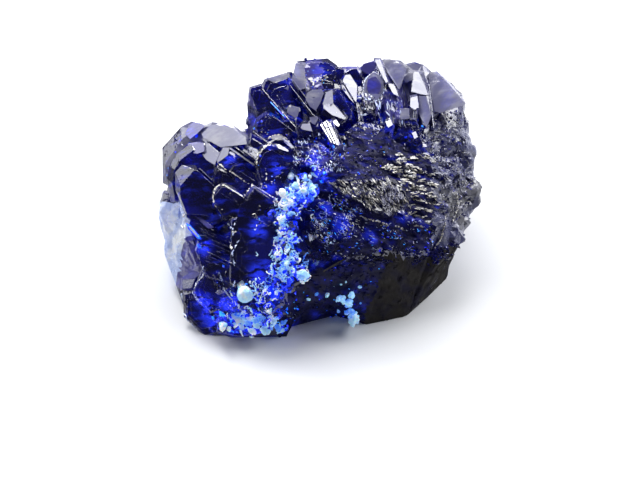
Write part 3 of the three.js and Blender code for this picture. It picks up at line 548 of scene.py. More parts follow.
# Facets that catch a light: outline, what it shows, lift, finish.
FACETS = [
    # the left fan
    ([(-6.98, 6.98), (-6.6, 7.12), (-5.97, 7.0), (-5.44, 6.94), (-4.95, 6.6), (-4.55, 6.3), (-4.5, 5.89),
      (-5.65, 5.85), (-6.12, 5.7), (-6.7, 6.02), (-7.2, 6.3), (-7.42, 6.8)], LEFT, 0.1, PAINTED_GREY_SHEEN),
    ([(-7.8, 7.28), (-7.3, 7.15), (-7.02, 7.05), (-7.4, 6.75), (-7.6, 6.5), (-8.0, 6.2), (-8.3, 6.5),
      (-8.1, 7.0)], LEFT, 0.16, VIOLET),
    ([(-7.2, 5.85), (-6.85, 5.95), (-6.15, 5.36), (-6.4, 5.1), (-6.48, 4.6), (-7.02, 4.93), (-7.25, 5.25)],
     LEFT, 0.3, PAINTED_GREY_SHEEN),
    ([(-8.15, 5.95), (-7.6, 6.04), (-7.15, 5.98), (-7.1, 5.45), (-7.55, 5.3), (-8.1, 5.4)],
     LEFT, 0.38, VIOLET),
    ([(-6.3, 6.9), (-5.9, 7.1), (-5.35, 6.9), (-5.0, 6.5), (-5.3, 6.3), (-6.0, 6.4)], LEFT, 0.16, VIOLET),
    ([(-6.39, 4.92), (-6.28, 4.76), (-5.67, 5.2), (-5.55, 5.7), (-5.97, 5.7)], LEFT, 0.1, PAINTED_GREY_SHEEN),
    ([(-4.4, 5.8), (-3.87, 5.6), (-3.67, 5.28), (-3.95, 5.0), (-4.5, 5.4)], RIGHT, 0.08, CLEAR),
    # the small block on the notch
    ([(-3.15, 6.3), (-2.83, 6.44), (-2.45, 6.45), (-2.1, 6.2), (-2.7, 6.1)], LEFT, 0.12, FROSTED),
    ([(-2.75, 5.9), (-2.5, 5.9), (-1.9, 5.52), (-1.98, 5.42), (-2.55, 5.62)], KEY, 0.12, FROSTED),
    ([(-2.4, 6.3), (-2.0, 6.15), (-1.52, 5.66), (-1.75, 5.62), (-2.2, 6.0)], RIGHT, 0.1, CLEAR),
    # the top of the right fan
    ([(-0.82, 9.03), (-0.51, 9.23), (0.1, 9.28), (0.24, 9.05), (0.0, 8.41), (-0.26, 7.95), (-0.62, 8.2),
      (-0.87, 8.62)], SKY, 0.1, PAINTED_GREY_SHEEN),
    ([(0.36, 9.08), (0.77, 9.28), (0.82, 8.41), (0.5, 8.2), (0.21, 8.3), (0.15, 8.36)], LEFT, 0.1, PAINTED_GREY_SHEEN),
    ([(0.82, 8.41), (1.64, 7.49), (1.49, 7.4), (0.72, 7.69), (0.21, 8.1), (0.2, 8.35)], RIGHT, 0.12, PAINTED_ASH_SHEEN),
    ([(1.3, 9.6), (1.36, 9.3), (1.8, 8.72), (2.12, 8.38), (2.06, 8.55), (1.42, 9.62)], BACK, 0.12, PAINTED_ASH_SHEEN),
    ([(1.38, 9.8), (1.54, 10.15), (1.85, 10.2), (2.3, 9.5), (2.26, 8.51), (2.17, 8.5), (1.5, 9.66)],
     BACK, 0.13, PAINTED_GREY_SHEEN),
    ([(0.0, 7.08), (0.13, 7.18), (0.8, 5.93), (0.67, 6.0)], KEY, 0.14, PAINTED_ASH_SHEEN),
    ([(0.17, 7.2), (0.34, 7.33), (0.98, 5.86), (0.84, 5.92)], KEY, 0.16, PAINTED_ASH_SHEEN),
    ([(0.38, 7.36), (0.41, 7.38), (0.67, 7.18), (1.23, 5.95), (1.13, 5.79), (1.02, 5.85)],
     KEY, 0.15, PAINTED_ASH_SHEEN),
    ([(0.68, 7.5), (0.9, 7.56), (1.23, 7.1), (1.13, 6.95), (0.8, 7.2)], KEY, 0.12, PAINTED_GREY_SHEEN),
    ([(-2.0, 8.1), (-1.74, 8.26), (-1.23, 8.15), (-1.38, 7.6), (-1.54, 7.49), (-2.05, 7.85)],
     SKY, 0.1, PAINTED_GREY_SHEEN),
    ([(-1.33, 6.97), (-1.18, 7.13), (-0.62, 7.18), (-0.46, 6.67), (-1.03, 6.77)], LEFT, 0.12, PAINTED_GREY_SHEEN),
    ([(-0.67, 7.54), (-0.2, 7.64), (-0.1, 7.49), (-0.31, 7.08), (-0.51, 7.18)], SKY, 0.12, PAINTED_GREY_SHEEN),
    ([(-1.5, 10.9), (-0.98, 10.8), (-0.98, 9.7), (-0.85, 9.35), (-1.35, 9.2), (-1.75, 9.8)],
     SKY, 0.04, PAINTED_GREY_SHEEN),
    ([(-3.3, 9.9), (-2.6, 10.15), (-1.9, 10.25), (-1.88, 9.6), (-1.95, 9.2), (-2.5, 9.6)],
     SKY, 0.05, PAINTED_GREY_SHEEN),
    ([(1.5, 10.25), (1.9, 10.5), (2.26, 10.55), (2.72, 9.85), (2.4, 9.6), (1.9, 10.25)], FRONT, 0.1, CLEAR),
    ([(2.46, 10.5), (2.67, 10.85), (3.28, 11.02), (3.46, 10.9), (3.4, 10.4), (2.9, 10.2)],
     FRONT, 0.1, VIOLET),
    ([(0.95, 10.6), (1.5, 10.5), (1.45, 10.0), (1.15, 9.6), (1.0, 10.0)], FRONT, 0.08, CLEAR),
    ([(0.95, 9.2), (1.25, 9.0), (1.95, 7.9), (1.85, 7.55), (1.66, 7.62), (0.95, 8.45)], FRONT, 0.1, CLEAR),
    # the long pale blades on the right
    ([(3.35, 11.1), (3.72, 11.13), (4.2, 9.75), (4.05, 9.65), (3.75, 10.2)], BACK, 0.12, PAINTED_GREY_SHEEN),
    ([(4.12, 9.66), (4.56, 9.6), (4.88, 8.8), (4.5, 9.0)], KEY, 0.12, PAINTED_GREY_SHEEN),
    ([(3.8, 11.1), (4.3, 11.15), (4.9, 10.95), (5.4, 10.6), (5.05, 10.0), (4.9, 9.25), (4.6, 9.64),
      (4.15, 10.3)], LEFT, 0.15, PAINTED_GREY_SHEEN),
    ([(5.1, 9.95), (5.42, 10.34), (5.74, 10.28), (5.74, 9.85), (5.25, 9.65)], LEFT, 0.16, PAINTED_GREY_SHEEN),
    ([(5.76, 10.36), (6.07, 10.36), (6.41, 9.64), (6.67, 8.94), (6.46, 8.92), (5.95, 9.03), (5.6, 9.13),
      (5.8, 9.74)], RIGHT, 0.14, PAINTED_GREY_SHEEN),
    ([(5.54, 8.77), (6.0, 8.87), (6.1, 8.15), (5.8, 8.0), (5.54, 8.2)], KEY, 0.16, PAINTED_GREY_SHEEN),
    ([(6.08, 8.87), (6.56, 8.84), (6.87, 7.69), (6.56, 6.87), (6.05, 7.79), (6.15, 8.2)],
     LEFT, 0.08, PAINTED_GREY_SHEEN),
    ([(6.7, 10.3), (7.2, 10.4), (8.0, 9.7), (8.4, 9.15), (8.9, 8.6), (9.0, 8.35), (8.2, 8.3), (7.4, 7.8),
      (7.05, 7.9), (6.8, 9.3)], LEFT, 0.15, PAINTED_GREY_SHEEN),
    ([(5.64, 6.6), (5.9, 6.7), (6.05, 6.35), (5.8, 6.2)], KEY, 0.12, PAINTED_GREY_SHEEN),
    ([(6.3, 5.95), (6.55, 5.9), (6.6, 5.7), (6.35, 5.72)], KEY, 0.12, PAINTED_GREY_SHEEN),
    ([(4.0, 7.3), (4.35, 7.4), (4.5, 7.1), (4.2, 6.9)], KEY, 0.1, PAINTED_GREY_SHEEN),
    ([(4.9, 8.1), (5.5, 8.1), (5.5, 7.45), (4.95, 7.4)], SKY, 0.05, PAINTED_GREY_SHEEN),
    # the lower left
    ([(-8.25, 1.05), (-8.0, 0.95), (-7.4, 0.25), (-7.27, 0.02), (-7.55, 0.08), (-8.1, 0.65)],
     FRONT, 0.28, PAINTED_GLINT),
    ([(-8.1, 0.86), (-7.95, 0.82), (-7.5, 0.28), (-7.45, 0.15), (-7.6, 0.22), (-8.05, 0.72)],
     FRONT, 0.34, PAINTED_LIGHT_THROUGH),
    ([(-8.45, -2.45), (-7.68, -2.4), (-7.9, -2.97), (-8.45, -3.0)], LEFT, 0.08, FROSTED),
    ([(-7.7, 1.5), (-7.3, 1.4), (-6.5, 0.75), (-6.9, 0.7)], SKY, 0.08, VIOLET),
]

# Straight bars along the plates: start, end, width, what it shows, finish.
BARS = [
    ((-7.52, 4.33), (-6.72, 3.55), 0.08, BACK, CLEAR), ((-7.42, 4.42), (-6.62, 3.66), 0.05, RIGHT, FROSTED),
    ((-5.55, 5.66), (-4.02, 4.6), 0.12, RIGHT, FROSTED), ((-5.2, 5.72), (-3.98, 4.85), 0.06, BACK, CLEAR),
    ((-4.72, 5.56), (-3.9, 4.98), 0.14, RIGHT, FROSTED), ((-5.85, 3.36), (-4.74, 2.68), 0.1, BACK, FROSTED),
    ((-4.17, 3.42), (-2.64, 2.48), 0.07, BACK, CLEAR), ((-4.08, 3.22), (-2.7, 2.3), 0.06, RIGHT, FROSTED),
    ((-2.93, 7.69), (-1.48, 6.56), 0.045, BACK, CLEAR), ((-4.14, 6.7), (-3.27, 6.03), 0.06, LEFT, FROSTED),
    ((-3.25, 5.97), (-2.42, 6.33), 0.07, BACK, FROSTED), ((-1.85, 9.54), (-0.32, 7.6), 0.045, KEY, CLEAR),
    ((-1.7, 9.85), (-0.2, 7.9), 0.04, SKY, FROSTED), ((-3.6, 9.35), (-1.45, 6.9), 0.04, KEY, CLEAR),
    ((-2.9, 9.3), (-1.95, 8.3), 0.05, SKY, FROSTED), ((-3.05, 8.5), (-2.1, 7.5), 0.06, RIGHT, PAINTED_GLINT),
    ((-2.6, 8.3), (-1.6, 7.2), 0.04, SKY, FROSTED), ((6.72, 9.6), (6.9, 7.9), 0.06, RIGHT, FROSTED),
    ((6.9, 7.9), (7.0, 6.9), 0.09, BACK, FROSTED), ((1.42, 9.4), (2.0, 8.6), 0.035, FRONT, CLEAR),
    ((1.56, 9.6), (2.14, 8.8), 0.035, FRONT, CLEAR), ((0.28, 7.0), (0.98, 5.95), 0.035, FRONT, CLEAR),
    ((0.45, 7.1), (1.1, 6.0), 0.03, FRONT, CLEAR), ((0.2, -1.95), (1.55, -1.15), 0.12, BACK, PAINTED_SHADE_UNDERSIDE),
    ((-7.35, 1.05), (-6.55, 0.62), 0.05, BACK, CLEAR), ((-7.4, 0.8), (-6.2, 0.2), 0.03, BACK, CLEAR),
    ((-7.15, 0.5), (-5.75, -0.15), 0.03, RIGHT, CLEAR), ((-7.2, 0.3), (-5.6, -0.45), 0.03, BACK, FROSTED),
    ((-6.9, -0.1), (-5.5, -0.75), 0.03, RIGHT, CLEAR), ((-6.95, -0.7), (-5.4, -1.45), 0.05, BACK, FROSTED),
    ((-6.8, -1.0), (-5.5, -1.6), 0.03, BACK, CLEAR), ((-5.0, 4.3), (-4.0, 3.6), 0.03, BACK, CLEAR),
    ((-6.1, 2.9), (-4.9, 2.1), 0.03, RIGHT, CLEAR), ((-4.9, 1.9), (-3.2, 0.9), 0.03, BACK, CLEAR),
    ((-8.0, 2.9), (-7.0, 2.1), 0.03, RIGHT, CLEAR), ((-8.0, 2.2), (-7.2, 1.6), 0.03, BACK, CLEAR),
]

# Torn bright edges, each a line of places, painted as highlights.
EDGES = [
    [(-8.69, 3.19), (-8.58, 2.67), (-8.37, 2.35), (-8.22, 2.04), (-8.17, 1.67), (-8.3, 1.2)],
    [(-7.96, 3.21), (-8.22, 3.14), (-8.27, 2.77), (-8.22, 2.46)],
    [(-6.54, 2.25), (-6.6, 2.77), (-6.44, 3.19), (-6.12, 3.42), (-5.9, 3.4)],
    [(-4.71, 2.6), (-4.4, 3.09), (-4.17, 3.42)],
    [(-6.49, 2.15), (-5.97, 1.83), (-5.65, 1.62), (-5.35, 1.33)],
    [(-6.28, 4.71), (-5.55, 4.24), (-4.4, 3.45)],
    [(-6.44, 4.55), (-6.39, 4.95), (-6.12, 5.44), (-5.65, 5.76), (-4.71, 5.81)],
    [(-3.93, 4.66), (-3.87, 5.23), (-3.35, 5.76), (-2.83, 6.12)],
    [(-3.46, 5.23), (-3.4, 4.66), (-3.3, 4.13), (-3.3, 3.71)],
    [(-3.19, 6.28), (-2.83, 6.44), (-2.36, 6.49), (-1.99, 6.12), (-1.52, 5.65)],
    [(-5.67, 1.06), (-5.55, 0.73), (-5.3, 0.84), (-5.13, 1.17)],
    [(-5.4, 0.7), (-5.35, 0.3)],
    [(-4.92, 0.09), (-5.13, -0.24), (-5.4, -0.78), (-5.35, -1.1), (-5.24, -1.64)],
    [(-6.21, -1.96), (-6.0, -2.61), (-5.84, -3.15), (-5.51, -3.58), (-5.08, -4.02), (-4.76, -4.45)],
    [(-7.2, -1.6), (-7.2, -2.2), (-7.6, -2.7), (-7.85, -3.1), (-7.7, -3.5), (-7.3, -3.9)],
    [(-5.2, -2.5), (-5.35, -2.9), (-5.3, -3.3)],
    [(-8.5, -3.3), (-8.55, -4.2), (-8.2, -4.9), (-7.6, -5.5)],
    [(2.5, 1.45), (2.9, 1.32), (3.3, 1.2), (3.7, 1.12), (4.2, 0.92)],
    [(7.75, 1.6), (7.7, 1.0), (7.5, 0.2), (7.1, -0.5)],
    [(8.4, 3.0), (8.5, 2.0), (8.2, 1.2)],
]

# The torn ledges under the violet hillock, painted pale with the finish that paints light through the
# azurite.
HILLOCK_FOOT = [
    [(2.0, 8.75), (2.4, 8.9), (2.9, 8.75), (3.2, 8.5)], [(2.0, 8.6), (2.5, 8.75), (3.0, 8.6)],
    [(2.2, 8.0), (2.6, 7.7), (3.1, 7.75)],
]

# Painted glow, where light is painted as if it gathers inside the azurite: place and reach.
PAINTED_GLOWS = [
    (-6.3, -4.7, 1.6), (-7.2, -4.0, 1.2), (-4.9, -5.3, 1.2), (-3.7, -2.1, 1.1), (-2.9, -4.4, 1.4),
    (-1.3, 2.7, 1.4), (-2.0, -0.3, 1.4), (0.1, 3.9, 1.0), (-7.2, -0.4, 0.8), (5.6, 6.5, 0.4),
    (-8.1, 6.4, 0.9), (-0.1, 10.4, 0.7), (-5.6, 4.9, 0.7), (3.2, 9.4, 0.7), (-4.1, 7.3, 0.5),
    (1.5, 8.4, 0.5), (-3.8, 0.6, 0.9), (-3.2, 3.2, 0.7), (-2.6, 4.4, 0.7), (-0.4, 4.9, 1.0),
    (0.2, 1.9, 0.9), (-0.9, -1.8, 1.1), (1.4, 0.9, 1.0), (3.2, 0.2, 0.8), (-5.5, -4.0, 1.3),
    (-3.9, -5.3, 1.2), (0.4, 5.6, 0.7),
]

# The violet hillock among the right fan's blades: centre, half width, half height.
HILLOCK = (3.3, 9.45, 0.62, 0.85)
# Its steps: size, what each shows, lift, finish and how broken its ring is.
HILLOCK_RINGS = [
    (1.0, SKY, 0.06, PAINTED_GREY_SHEEN, 0.1), (0.74, FRONT, 0.12, VIOLET, 0.2), (0.42, FRONT, 0.2, BROKEN, 0.4),
]

# Painted glints of vivid blue, which glow: place and half width.
GLINTS = [
    (-0.53, 9.8, 0.16), (-3.67, 5.18, 0.1), (-3.04, 4.34, 0.07), (-2.95, 3.9, 0.07), (-4.05, 6.85, 0.1),
    (-3.6, 7.3, 0.09), (-2.2, 7.6, 0.06), (-9.35, 3.95, 0.14), (-4.2, 3.8, 0.07), (-7.4, -0.4, 0.22),
    (-6.9, -0.6, 0.14), (-9.3, 4.4, 0.1), (-8.9, 5.4, 0.09), (-5.95, -1.6, 0.12), (-6.0, -4.6, 0.3),
    (-6.6, -4.8, 0.2), (-5.5, -4.9, 0.2), (-6.9, -3.9, 0.15), (-3.6, -1.9, 0.15), (-4.1, -2.0, 0.1),
    (-3.4, -2.6, 0.15), (-4.4, -4.2, 0.16), (-3.3, -3.9, 0.15), (0.1, 3.6, 0.2), (0.3, 4.1, 0.2),
    (-0.2, 3.2, 0.15), (0.6, 1.2, 0.08), (1.3, 1.9, 0.08), (2.0, 0.9, 0.08), (5.3, 6.3, 0.14),
    (5.5, 6.1, 0.12), (6.3, 7.0, 0.1), (-8.0, 5.9, 0.14), (-7.6, 6.4, 0.18),
]

# Small white patches of painted highlight: place and radius.
WHITE_SPOTS = [
    (-0.5, 9.85, 0.16), (-0.45, 0.2, 0.16), (-0.15, 0.25, 0.1), (0.1, 0.2, 0.08), (-2.7, -3.26, 0.12),
    (-3.1, -3.7, 0.12), (-5.95, -5.3, 0.2), (-8.4, 1.5, 0.12), (-8.5, 0.9, 0.12), (3.8, 7.3, 0.1),
    (4.9, 5.0, 0.1), (-4.05, 1.6, 0.06), (-3.9, 0.9, 0.05), (-5.45, -0.4, 0.12), (-5.3, 0.5, 0.1),
]

# Regions of the drawing, each an outline.
SMOOTH_PATCH = [
    (3.75, 3.3), (4.2, 3.5), (4.95, 3.15), (5.1, 2.7), (4.6, 2.35), (4.25, 1.5), (3.95, 2.0), (3.72, 2.6),
]
SHEET = [
    (0.53, 3.55), (2.5, 3.65), (4.6, 3.7), (4.97, 3.4), (5.4, 2.55), (5.08, 2.03), (4.4, 1.5), (3.76, 2.2),
    (3.0, 2.0), (2.3, 2.5), (1.3, 3.1),
]
ROUGH_FACE = [
    (-1.0, 2.4), (0.3, 3.2), (2.4, 2.3), (3.6, 1.6), (4.6, 1.4), (6.2, 1.2), (7.2, 0.6), (7.0, -0.7),
    (5.2, -0.9), (4.5, -0.5), (2.5, -1.0), (0.2, -1.1), (-0.9, 0.2),
]
ROUGH_LEFT = [(-0.9, 0.4), (0.2, 3.1), (1.4, 2.8), (2.6, 1.6), (2.2, 0.2), (0.4, -0.4)]
DARK_FACE = [(0.9, 5.6), (2.5, 6.9), (4.4, 6.6), (6.2, 5.6), (4.4, 5.4), (4.4, 3.8), (0.5, 3.7), (0.2, 4.8)]
RIDGED_FACE = [
    (4.4, 5.6), (7.2, 5.2), (7.4, 2.6), (7.0, 1.2), (5.2, 1.4), (5.4, 2.6), (4.9, 3.6), (4.2, 4.0),
]
FLANK = [
    (6.6, 7.0), (7.4, 7.6), (8.3, 8.0), (9.3, 8.0), (9.3, 5.4), (9.8, 3.5), (9.9, 2.6), (9.5, 1.0),
    (8.6, -0.6), (7.2, -0.6), (7.3, 1.4), (7.3, 4.6), (6.5, 5.6),
]
FLANK_CREST = [
    (6.6, 7.0), (7.4, 7.6), (8.3, 8.0), (9.0, 7.7), (9.0, 5.4), (9.4, 3.5), (9.3, 2.6), (8.9, 1.4),
    (7.5, 0.8), (7.3, 4.6), (6.5, 5.6),
]
SPECKLED_NECK = [(-1.6, 6.3), (0.2, 6.6), (1.6, 5.6), (1.4, 4.3), (-0.4, 4.0), (-1.7, 4.6)]
TOP_WINDOWS = [
    (1.7, 8.6), (2.3, 10.6), (3.3, 10.9), (4.2, 9.6), (5.4, 8.4), (5.5, 7.2), (4.0, 6.9), (2.2, 7.6),
]
KNOB = [(4.4, 7.5), (5.6, 7.4), (6.4, 6.9), (6.4, 5.8), (5.6, 5.5), (4.6, 5.9)]
STRIATED = [(-8.0, 1.2), (-7.3, 1.4), (-5.5, 0.4), (-5.3, -1.4), (-6.8, -1.6), (-7.6, -0.8)]
SCALED = [
    (-7.0, -1.8), (-7.8, -3.2), (-8.3, -3.6), (-8.2, -4.8), (-7.2, -5.6), (-5.6, -5.6), (-4.9, -4.4),
    (-5.8, -2.0),
]
BOUNDARY = [
    (0.0, -1.1), (2.5, -0.8), (4.5, -0.4), (5.2, -0.7), (7.2, -0.5), (8.4, 0.0), (8.9, -0.9), (7.2, -1.5),
    (5.2, -1.5), (2.5, -1.5), (0.2, -2.0),
]
LOWER_LEFT = [
    (-5.0, -2.2), (-3.2, -1.8), (-1.0, -3.0), (-1.8, -5.6), (-4.2, -5.8), (-6.4, -5.6), (-5.4, -4.0),
]
UNDER_LEFT = [
    (-2.6, -5.0), (-2.2, -3.7), (-1.2, -2.7), (-0.4, -1.7), (0.9, -1.2), (3.2, -1.1), (4.1, -1.5),
    (3.6, -2.4), (3.4, -3.4), (2.8, -4.2), (2.6, -6.3), (-2.6, -6.6),
]
UNDER_RIGHT = [
    (2.4, -1.2), (4.5, -0.8), (5.2, -1.1), (7.2, -0.9), (8.0, -0.4), (8.8, -0.5), (9.0, -2.0), (7.2, -4.0),
    (5.5, -5.0), (3.2, -5.8), (2.4, -6.3),
]
VIOLET_NECK = [(-0.3, 6.3), (0.6, 6.3), (1.6, 5.9), (1.5, 5.0), (0.5, 4.9), (0.1, 4.1), (-0.3, 4.4)]

# Faces of the solid in view that aren't clear: outline and finish. The first that fits counts. The grey
# finishes paint sheen, and the dark broken ground under the left lobe paints its shade.
TINTED = [
    ([(-8.3, 5.95), (-7.0, 6.0), (-6.9, 5.2), (-8.3, 5.2)], VIOLET),
    ([(-1.0, 11.0), (0.0, 11.0), (0.3, 10.3), (0.0, 9.9), (0.2, 9.3), (-0.9, 9.3)], VIOLET),
    ([(-8.4, -0.1), (-8.0, 0.3), (-7.6, -0.4), (-7.55, -0.9), (-7.2, -1.5), (-7.5, -2.3), (-7.9, -3.1),
      (-8.9, -3.1), (-8.6, -1.6)], VIOLET),
    ([(-1.9, 10.8), (-1.0, 11.0), (-0.9, 9.2), (-1.7, 9.8)], PAINTED_GREY_SHEEN),
    ([(-4.3, 9.4), (-3.9, 9.9), (-2.6, 10.4), (-1.8, 10.3), (-1.9, 9.7), (-2.9, 9.6), (-3.6, 9.0)], PAINTED_GREY_SHEEN),
    ([(-4.5, 8.0), (-4.5, 9.2), (-4.0, 9.0), (-4.0, 8.0)], VIOLET),
    ([(-4.6, 6.3), (-4.6, 7.4), (-4.1, 7.6), (-4.0, 6.5)], VIOLET),
    ([(1.0, 11.0), (3.3, 11.3), (3.4, 10.3), (1.6, 10.2)], VIOLET),
    ([(-9.3, 3.0), (-9.6, 4.6), (-9.0, 5.6), (-8.3, 5.2), (-8.9, 4.2), (-8.9, 3.0)], PAINTED_GREY_SHEEN),
    ([(-9.2, 5.0), (-8.5, 6.6), (-7.8, 7.4), (-6.6, 7.3), (-5.2, 7.1), (-4.3, 6.5), (-4.2, 5.6),
      (-5.6, 5.85), (-6.4, 5.7), (-7.6, 5.95), (-8.5, 5.3)], PAINTED_GREY_SHEEN),
    ([(3.3, 11.2), (5.4, 11.0), (7.2, 10.5), (8.9, 8.8), (9.2, 8.0), (7.1, 7.7), (6.8, 8.6), (6.6, 6.9),
      (5.8, 6.9), (5.4, 8.6), (4.9, 9.0), (4.5, 9.6), (3.9, 9.7)], PAINTED_GREY_SHEEN),
    ([(3.7, 9.6), (4.3, 9.2), (5.3, 8.6), (5.5, 7.5), (4.7, 7.2), (3.9, 7.6)], VIOLET),
    (VIOLET_NECK, VIOLET),
    (UNDER_LEFT, BROKEN),
]

# Clear faces strewn with small chips, many painted as highlights and glints: outline and number of chips.
DOTTED_FACES = [
    ([(-4.0, 6.9), (-3.7, 7.5), (-3.2, 7.7), (-1.6, 6.5), (-2.4, 6.4), (-3.2, 6.1)], 40),
    ([(-1.0, 10.4), (0.9, 10.5), (1.1, 9.8), (0.6, 9.4), (-0.8, 9.4)], 34),
    ([(-1.8, 10.7), (-0.9, 10.8), (-0.8, 9.3), (-1.7, 9.8)], 14),
    ([(-3.4, 9.5), (-2.0, 10.2), (-2.0, 8.4), (-3.0, 8.6)], 14),
    ([(-4.0, 4.8), (-3.2, 5.6), (-2.2, 5.4), (-2.0, 4.0), (-3.6, 3.0)], 34),
    ([(-7.6, 3.9), (-8.4, 2.8), (-8.2, 1.6), (-5.2, 1.2), (-4.6, 3.0), (-6.6, 3.4)], 36),
    ([(-4.0, 2.0), (-3.4, 2.4), (-3.0, -2.0), (-4.0, -2.0)], 50),
    ([(-6.8, -1.8), (-7.5, -3.4), (-6.4, -5.4), (-4.9, -4.4)], 40),
    ([(0.9, 5.6), (2.5, 6.9), (6.0, 5.8), (4.4, 4.2), (0.6, 3.8)], 50),
    ([(2.5, 9.9), (3.9, 9.9), (4.2, 8.6), (2.6, 8.4)], 10),
]

# The rows of ridges on the broken face: start, end, number, length and width.
RIDGE_ROWS = [
    ((4.6, 5.25), (5.7, 5.0), 3, 0.36, 0.14), ((3.95, 4.55), (4.8, 4.45), 3, 0.5, 0.2),
    ((4.9, 4.85), (6.0, 4.35), 4, 0.42, 0.15), ((5.0, 4.3), (7.0, 4.05), 5, 0.44, 0.14),
    ((4.7, 4.15), (5.7, 3.7), 3, 0.5, 0.15), ((5.5, 3.85), (7.2, 3.4), 4, 0.48, 0.13),
    ((4.95, 3.65), (6.4, 3.15), 4, 0.46, 0.14), ((5.4, 3.1), (7.3, 2.65), 5, 0.42, 0.12),
    ((5.5, 2.6), (7.2, 2.15), 5, 0.38, 0.11), ((5.3, 2.15), (7.0, 1.7), 4, 0.34, 0.11),
    ((5.0, 1.7), (6.6, 1.3), 4, 0.3, 0.1), ((6.0, 5.4), (7.1, 4.8), 4, 0.3, 0.13),
    ((3.6, 1.0), (5.4, 0.7), 4, 0.24, 0.08), ((5.6, 0.9), (6.9, 0.6), 3, 0.24, 0.08),
]

# Where the body's finish changes out of the drawing's sight: how high the underside's painted shade reaches,
# how far right the flank starts and where it is all flank, how far left the side with painted light through
# it starts, and how high in the drawing it lies.
PAINTED_SHADE_TOP = 2.0
FLANK_START, FLANK_PROPER = 7.0, 8.4
PAINTED_GLOW_SIDE_START = -8.0
PAINTED_GLOW_SIDE_HEIGHTS = (-2.6, 2.4)
# How far a face has to look down to get the underside's painted shade, and to the right to be flank.
LOOKS_DOWN = -0.4
LOOKS_RIGHT = 0.3


def zone(place, normal):
    """The finish of the body at a place. The underside in view and low faces that look down get painted
    shade.
    """
    x, y, _ = seen_place(place)
    in_view = normal.dot(EYE - place) > 0
    if in_view:
        for region, finish in TINTED:
            if inside(x, y, region):
                return finish
    # Painted shade: the underside in view and low downward faces get the near-black finish.
    if in_view and inside(x, y, UNDER_RIGHT) or normal.z < LOOKS_DOWN and place.z < PAINTED_SHADE_TOP * MM:
        return PAINTED_SHADE_UNDERSIDE
    if in_view and inside(x, y, FLANK) or place.x > FLANK_PROPER * MM:
        return FROSTED
    if place.x > FLANK_START * MM and normal.x > LOOKS_RIGHT:
        return FROSTED
    # Painted light through: the thin far left side gets the pale glowing finish.
    if place.x < PAINTED_GLOW_SIDE_START * MM and PAINTED_GLOW_SIDE_HEIGHTS[0] < y < PAINTED_GLOW_SIDE_HEIGHTS[1]:
        return PAINTED_LIGHT_THROUGH
    # Painted sheen: the sheet gets the silvery finish.
    if in_view and inside(x, y, SHEET):
        return PAINTED_SILVER_SHEEN
    if in_view and any(inside(x, y, region) for region in (ROUGH_FACE, RIDGED_FACE, DARK_FACE)):
        return BROKEN
    return CLEAR


def is_rough(face):
    """Whether a face of the body lies in broken ground."""
    return zone(face.calc_center_median(), face.normal) in ROUGH_FINISHES


# Lines in towards the azurite start this far from its middle, and nothing is strewn lower than this.
FAR_OUT = 30
LOWEST_STREWN = 0.4


def all_round(ground, count, seed, low, high):
    """Places on every side of the azurite: the spot, the face's direction and a random number source."""
    rng = random.Random(seed)
    low_corner, high_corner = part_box("azurite_cluster")
    middle = (low_corner + high_corner) / 2
    for _ in range(count):
        turn = rng.uniform(0, math.tau)
        height = rng.uniform(low, high)
        flat = math.sqrt(max(0.0, 1 - height * height))
        outward = Vector((flat * math.cos(turn), flat * math.sin(turn), height))
        hit, normal, _, _ = ground.ray_cast(middle + outward * FAR_OUT * MM, -outward)
        if hit is not None and hit.z > LOWEST_STREWN * MM:
            yield hit, normal, rng


# Faces of fewer square millimetres get no marks, and fewer than the second number get no steps.
MARKED_AREA, STEPPED_AREA = 0.14, 0.3
# A face this many times as long as wide gets ridges instead of steps.
NARROW = 2.2
# A face that fills less than this share of its length times its width gets none.
FULL = 0.55
# Faces that look down more steeply than this get none either.
DOWNWARD = -0.7
# How deep the feet of ridges and of steps lie, and the bevel of a step.
RIDGE_ROOT = 0.2
STEP_ROOT = 0.15
STEP_EDGE = 0.008


def growth_marks(bm, crystals, seed):
    """Steps and ridges on the flat faces of the body, along each face's longest edge."""
    rng = random.Random(seed)
    for face in bm.faces:
        area = face.calc_area() / MM ** 2
        if area < MARKED_AREA or face.normal.z < DOWNWARD:
            continue
        edge = max(face.edges, key=lambda e: e.calc_length())
        along = (edge.verts[1].co - edge.verts[0].co).normalized()
        across = face.normal.cross(along)
        middle = face.calc_center_median()
        places = [((v.co - middle).dot(along), (v.co - middle).dot(across)) for v in face.verts]
        length = max(p[0] for p in places) - min(p[0] for p in places)
        width = max(p[1] for p in places) - min(p[1] for p in places)
        if area * MM ** 2 < FULL * length * width:
            continue
        if length > NARROW * width:
            ridge_marks(crystals, middle, along, across, face, length, width, rng)
        elif area > STEPPED_AREA:
            step_marks(crystals, middle, along, across, face, places, rng)


def ridge_marks(crystals, middle, along, across, face, length, width, rng):
    """One to three fine ridges along a narrow face."""
    outward = face.normal
    for _ in range(rng.randint(1, 3)):
        offset = across * (width * rng.uniform(-0.3, 0.3))
        half = width * rng.uniform(0.05, 0.12)
        reach = length * rng.uniform(0.28, 0.46)
        rise = min(half * 0.8, 0.05 * MM)
        points = []
        for way in (-1, 1):
            end = middle + offset + along * (reach * way)
            points.append(end + outward * rise)
            sides = [end + across * half, end - across * half]
            points += [*sides, *(side - outward * RIDGE_ROOT * MM for side in sides)]
        crystals.add(points, finish=face.material_index)


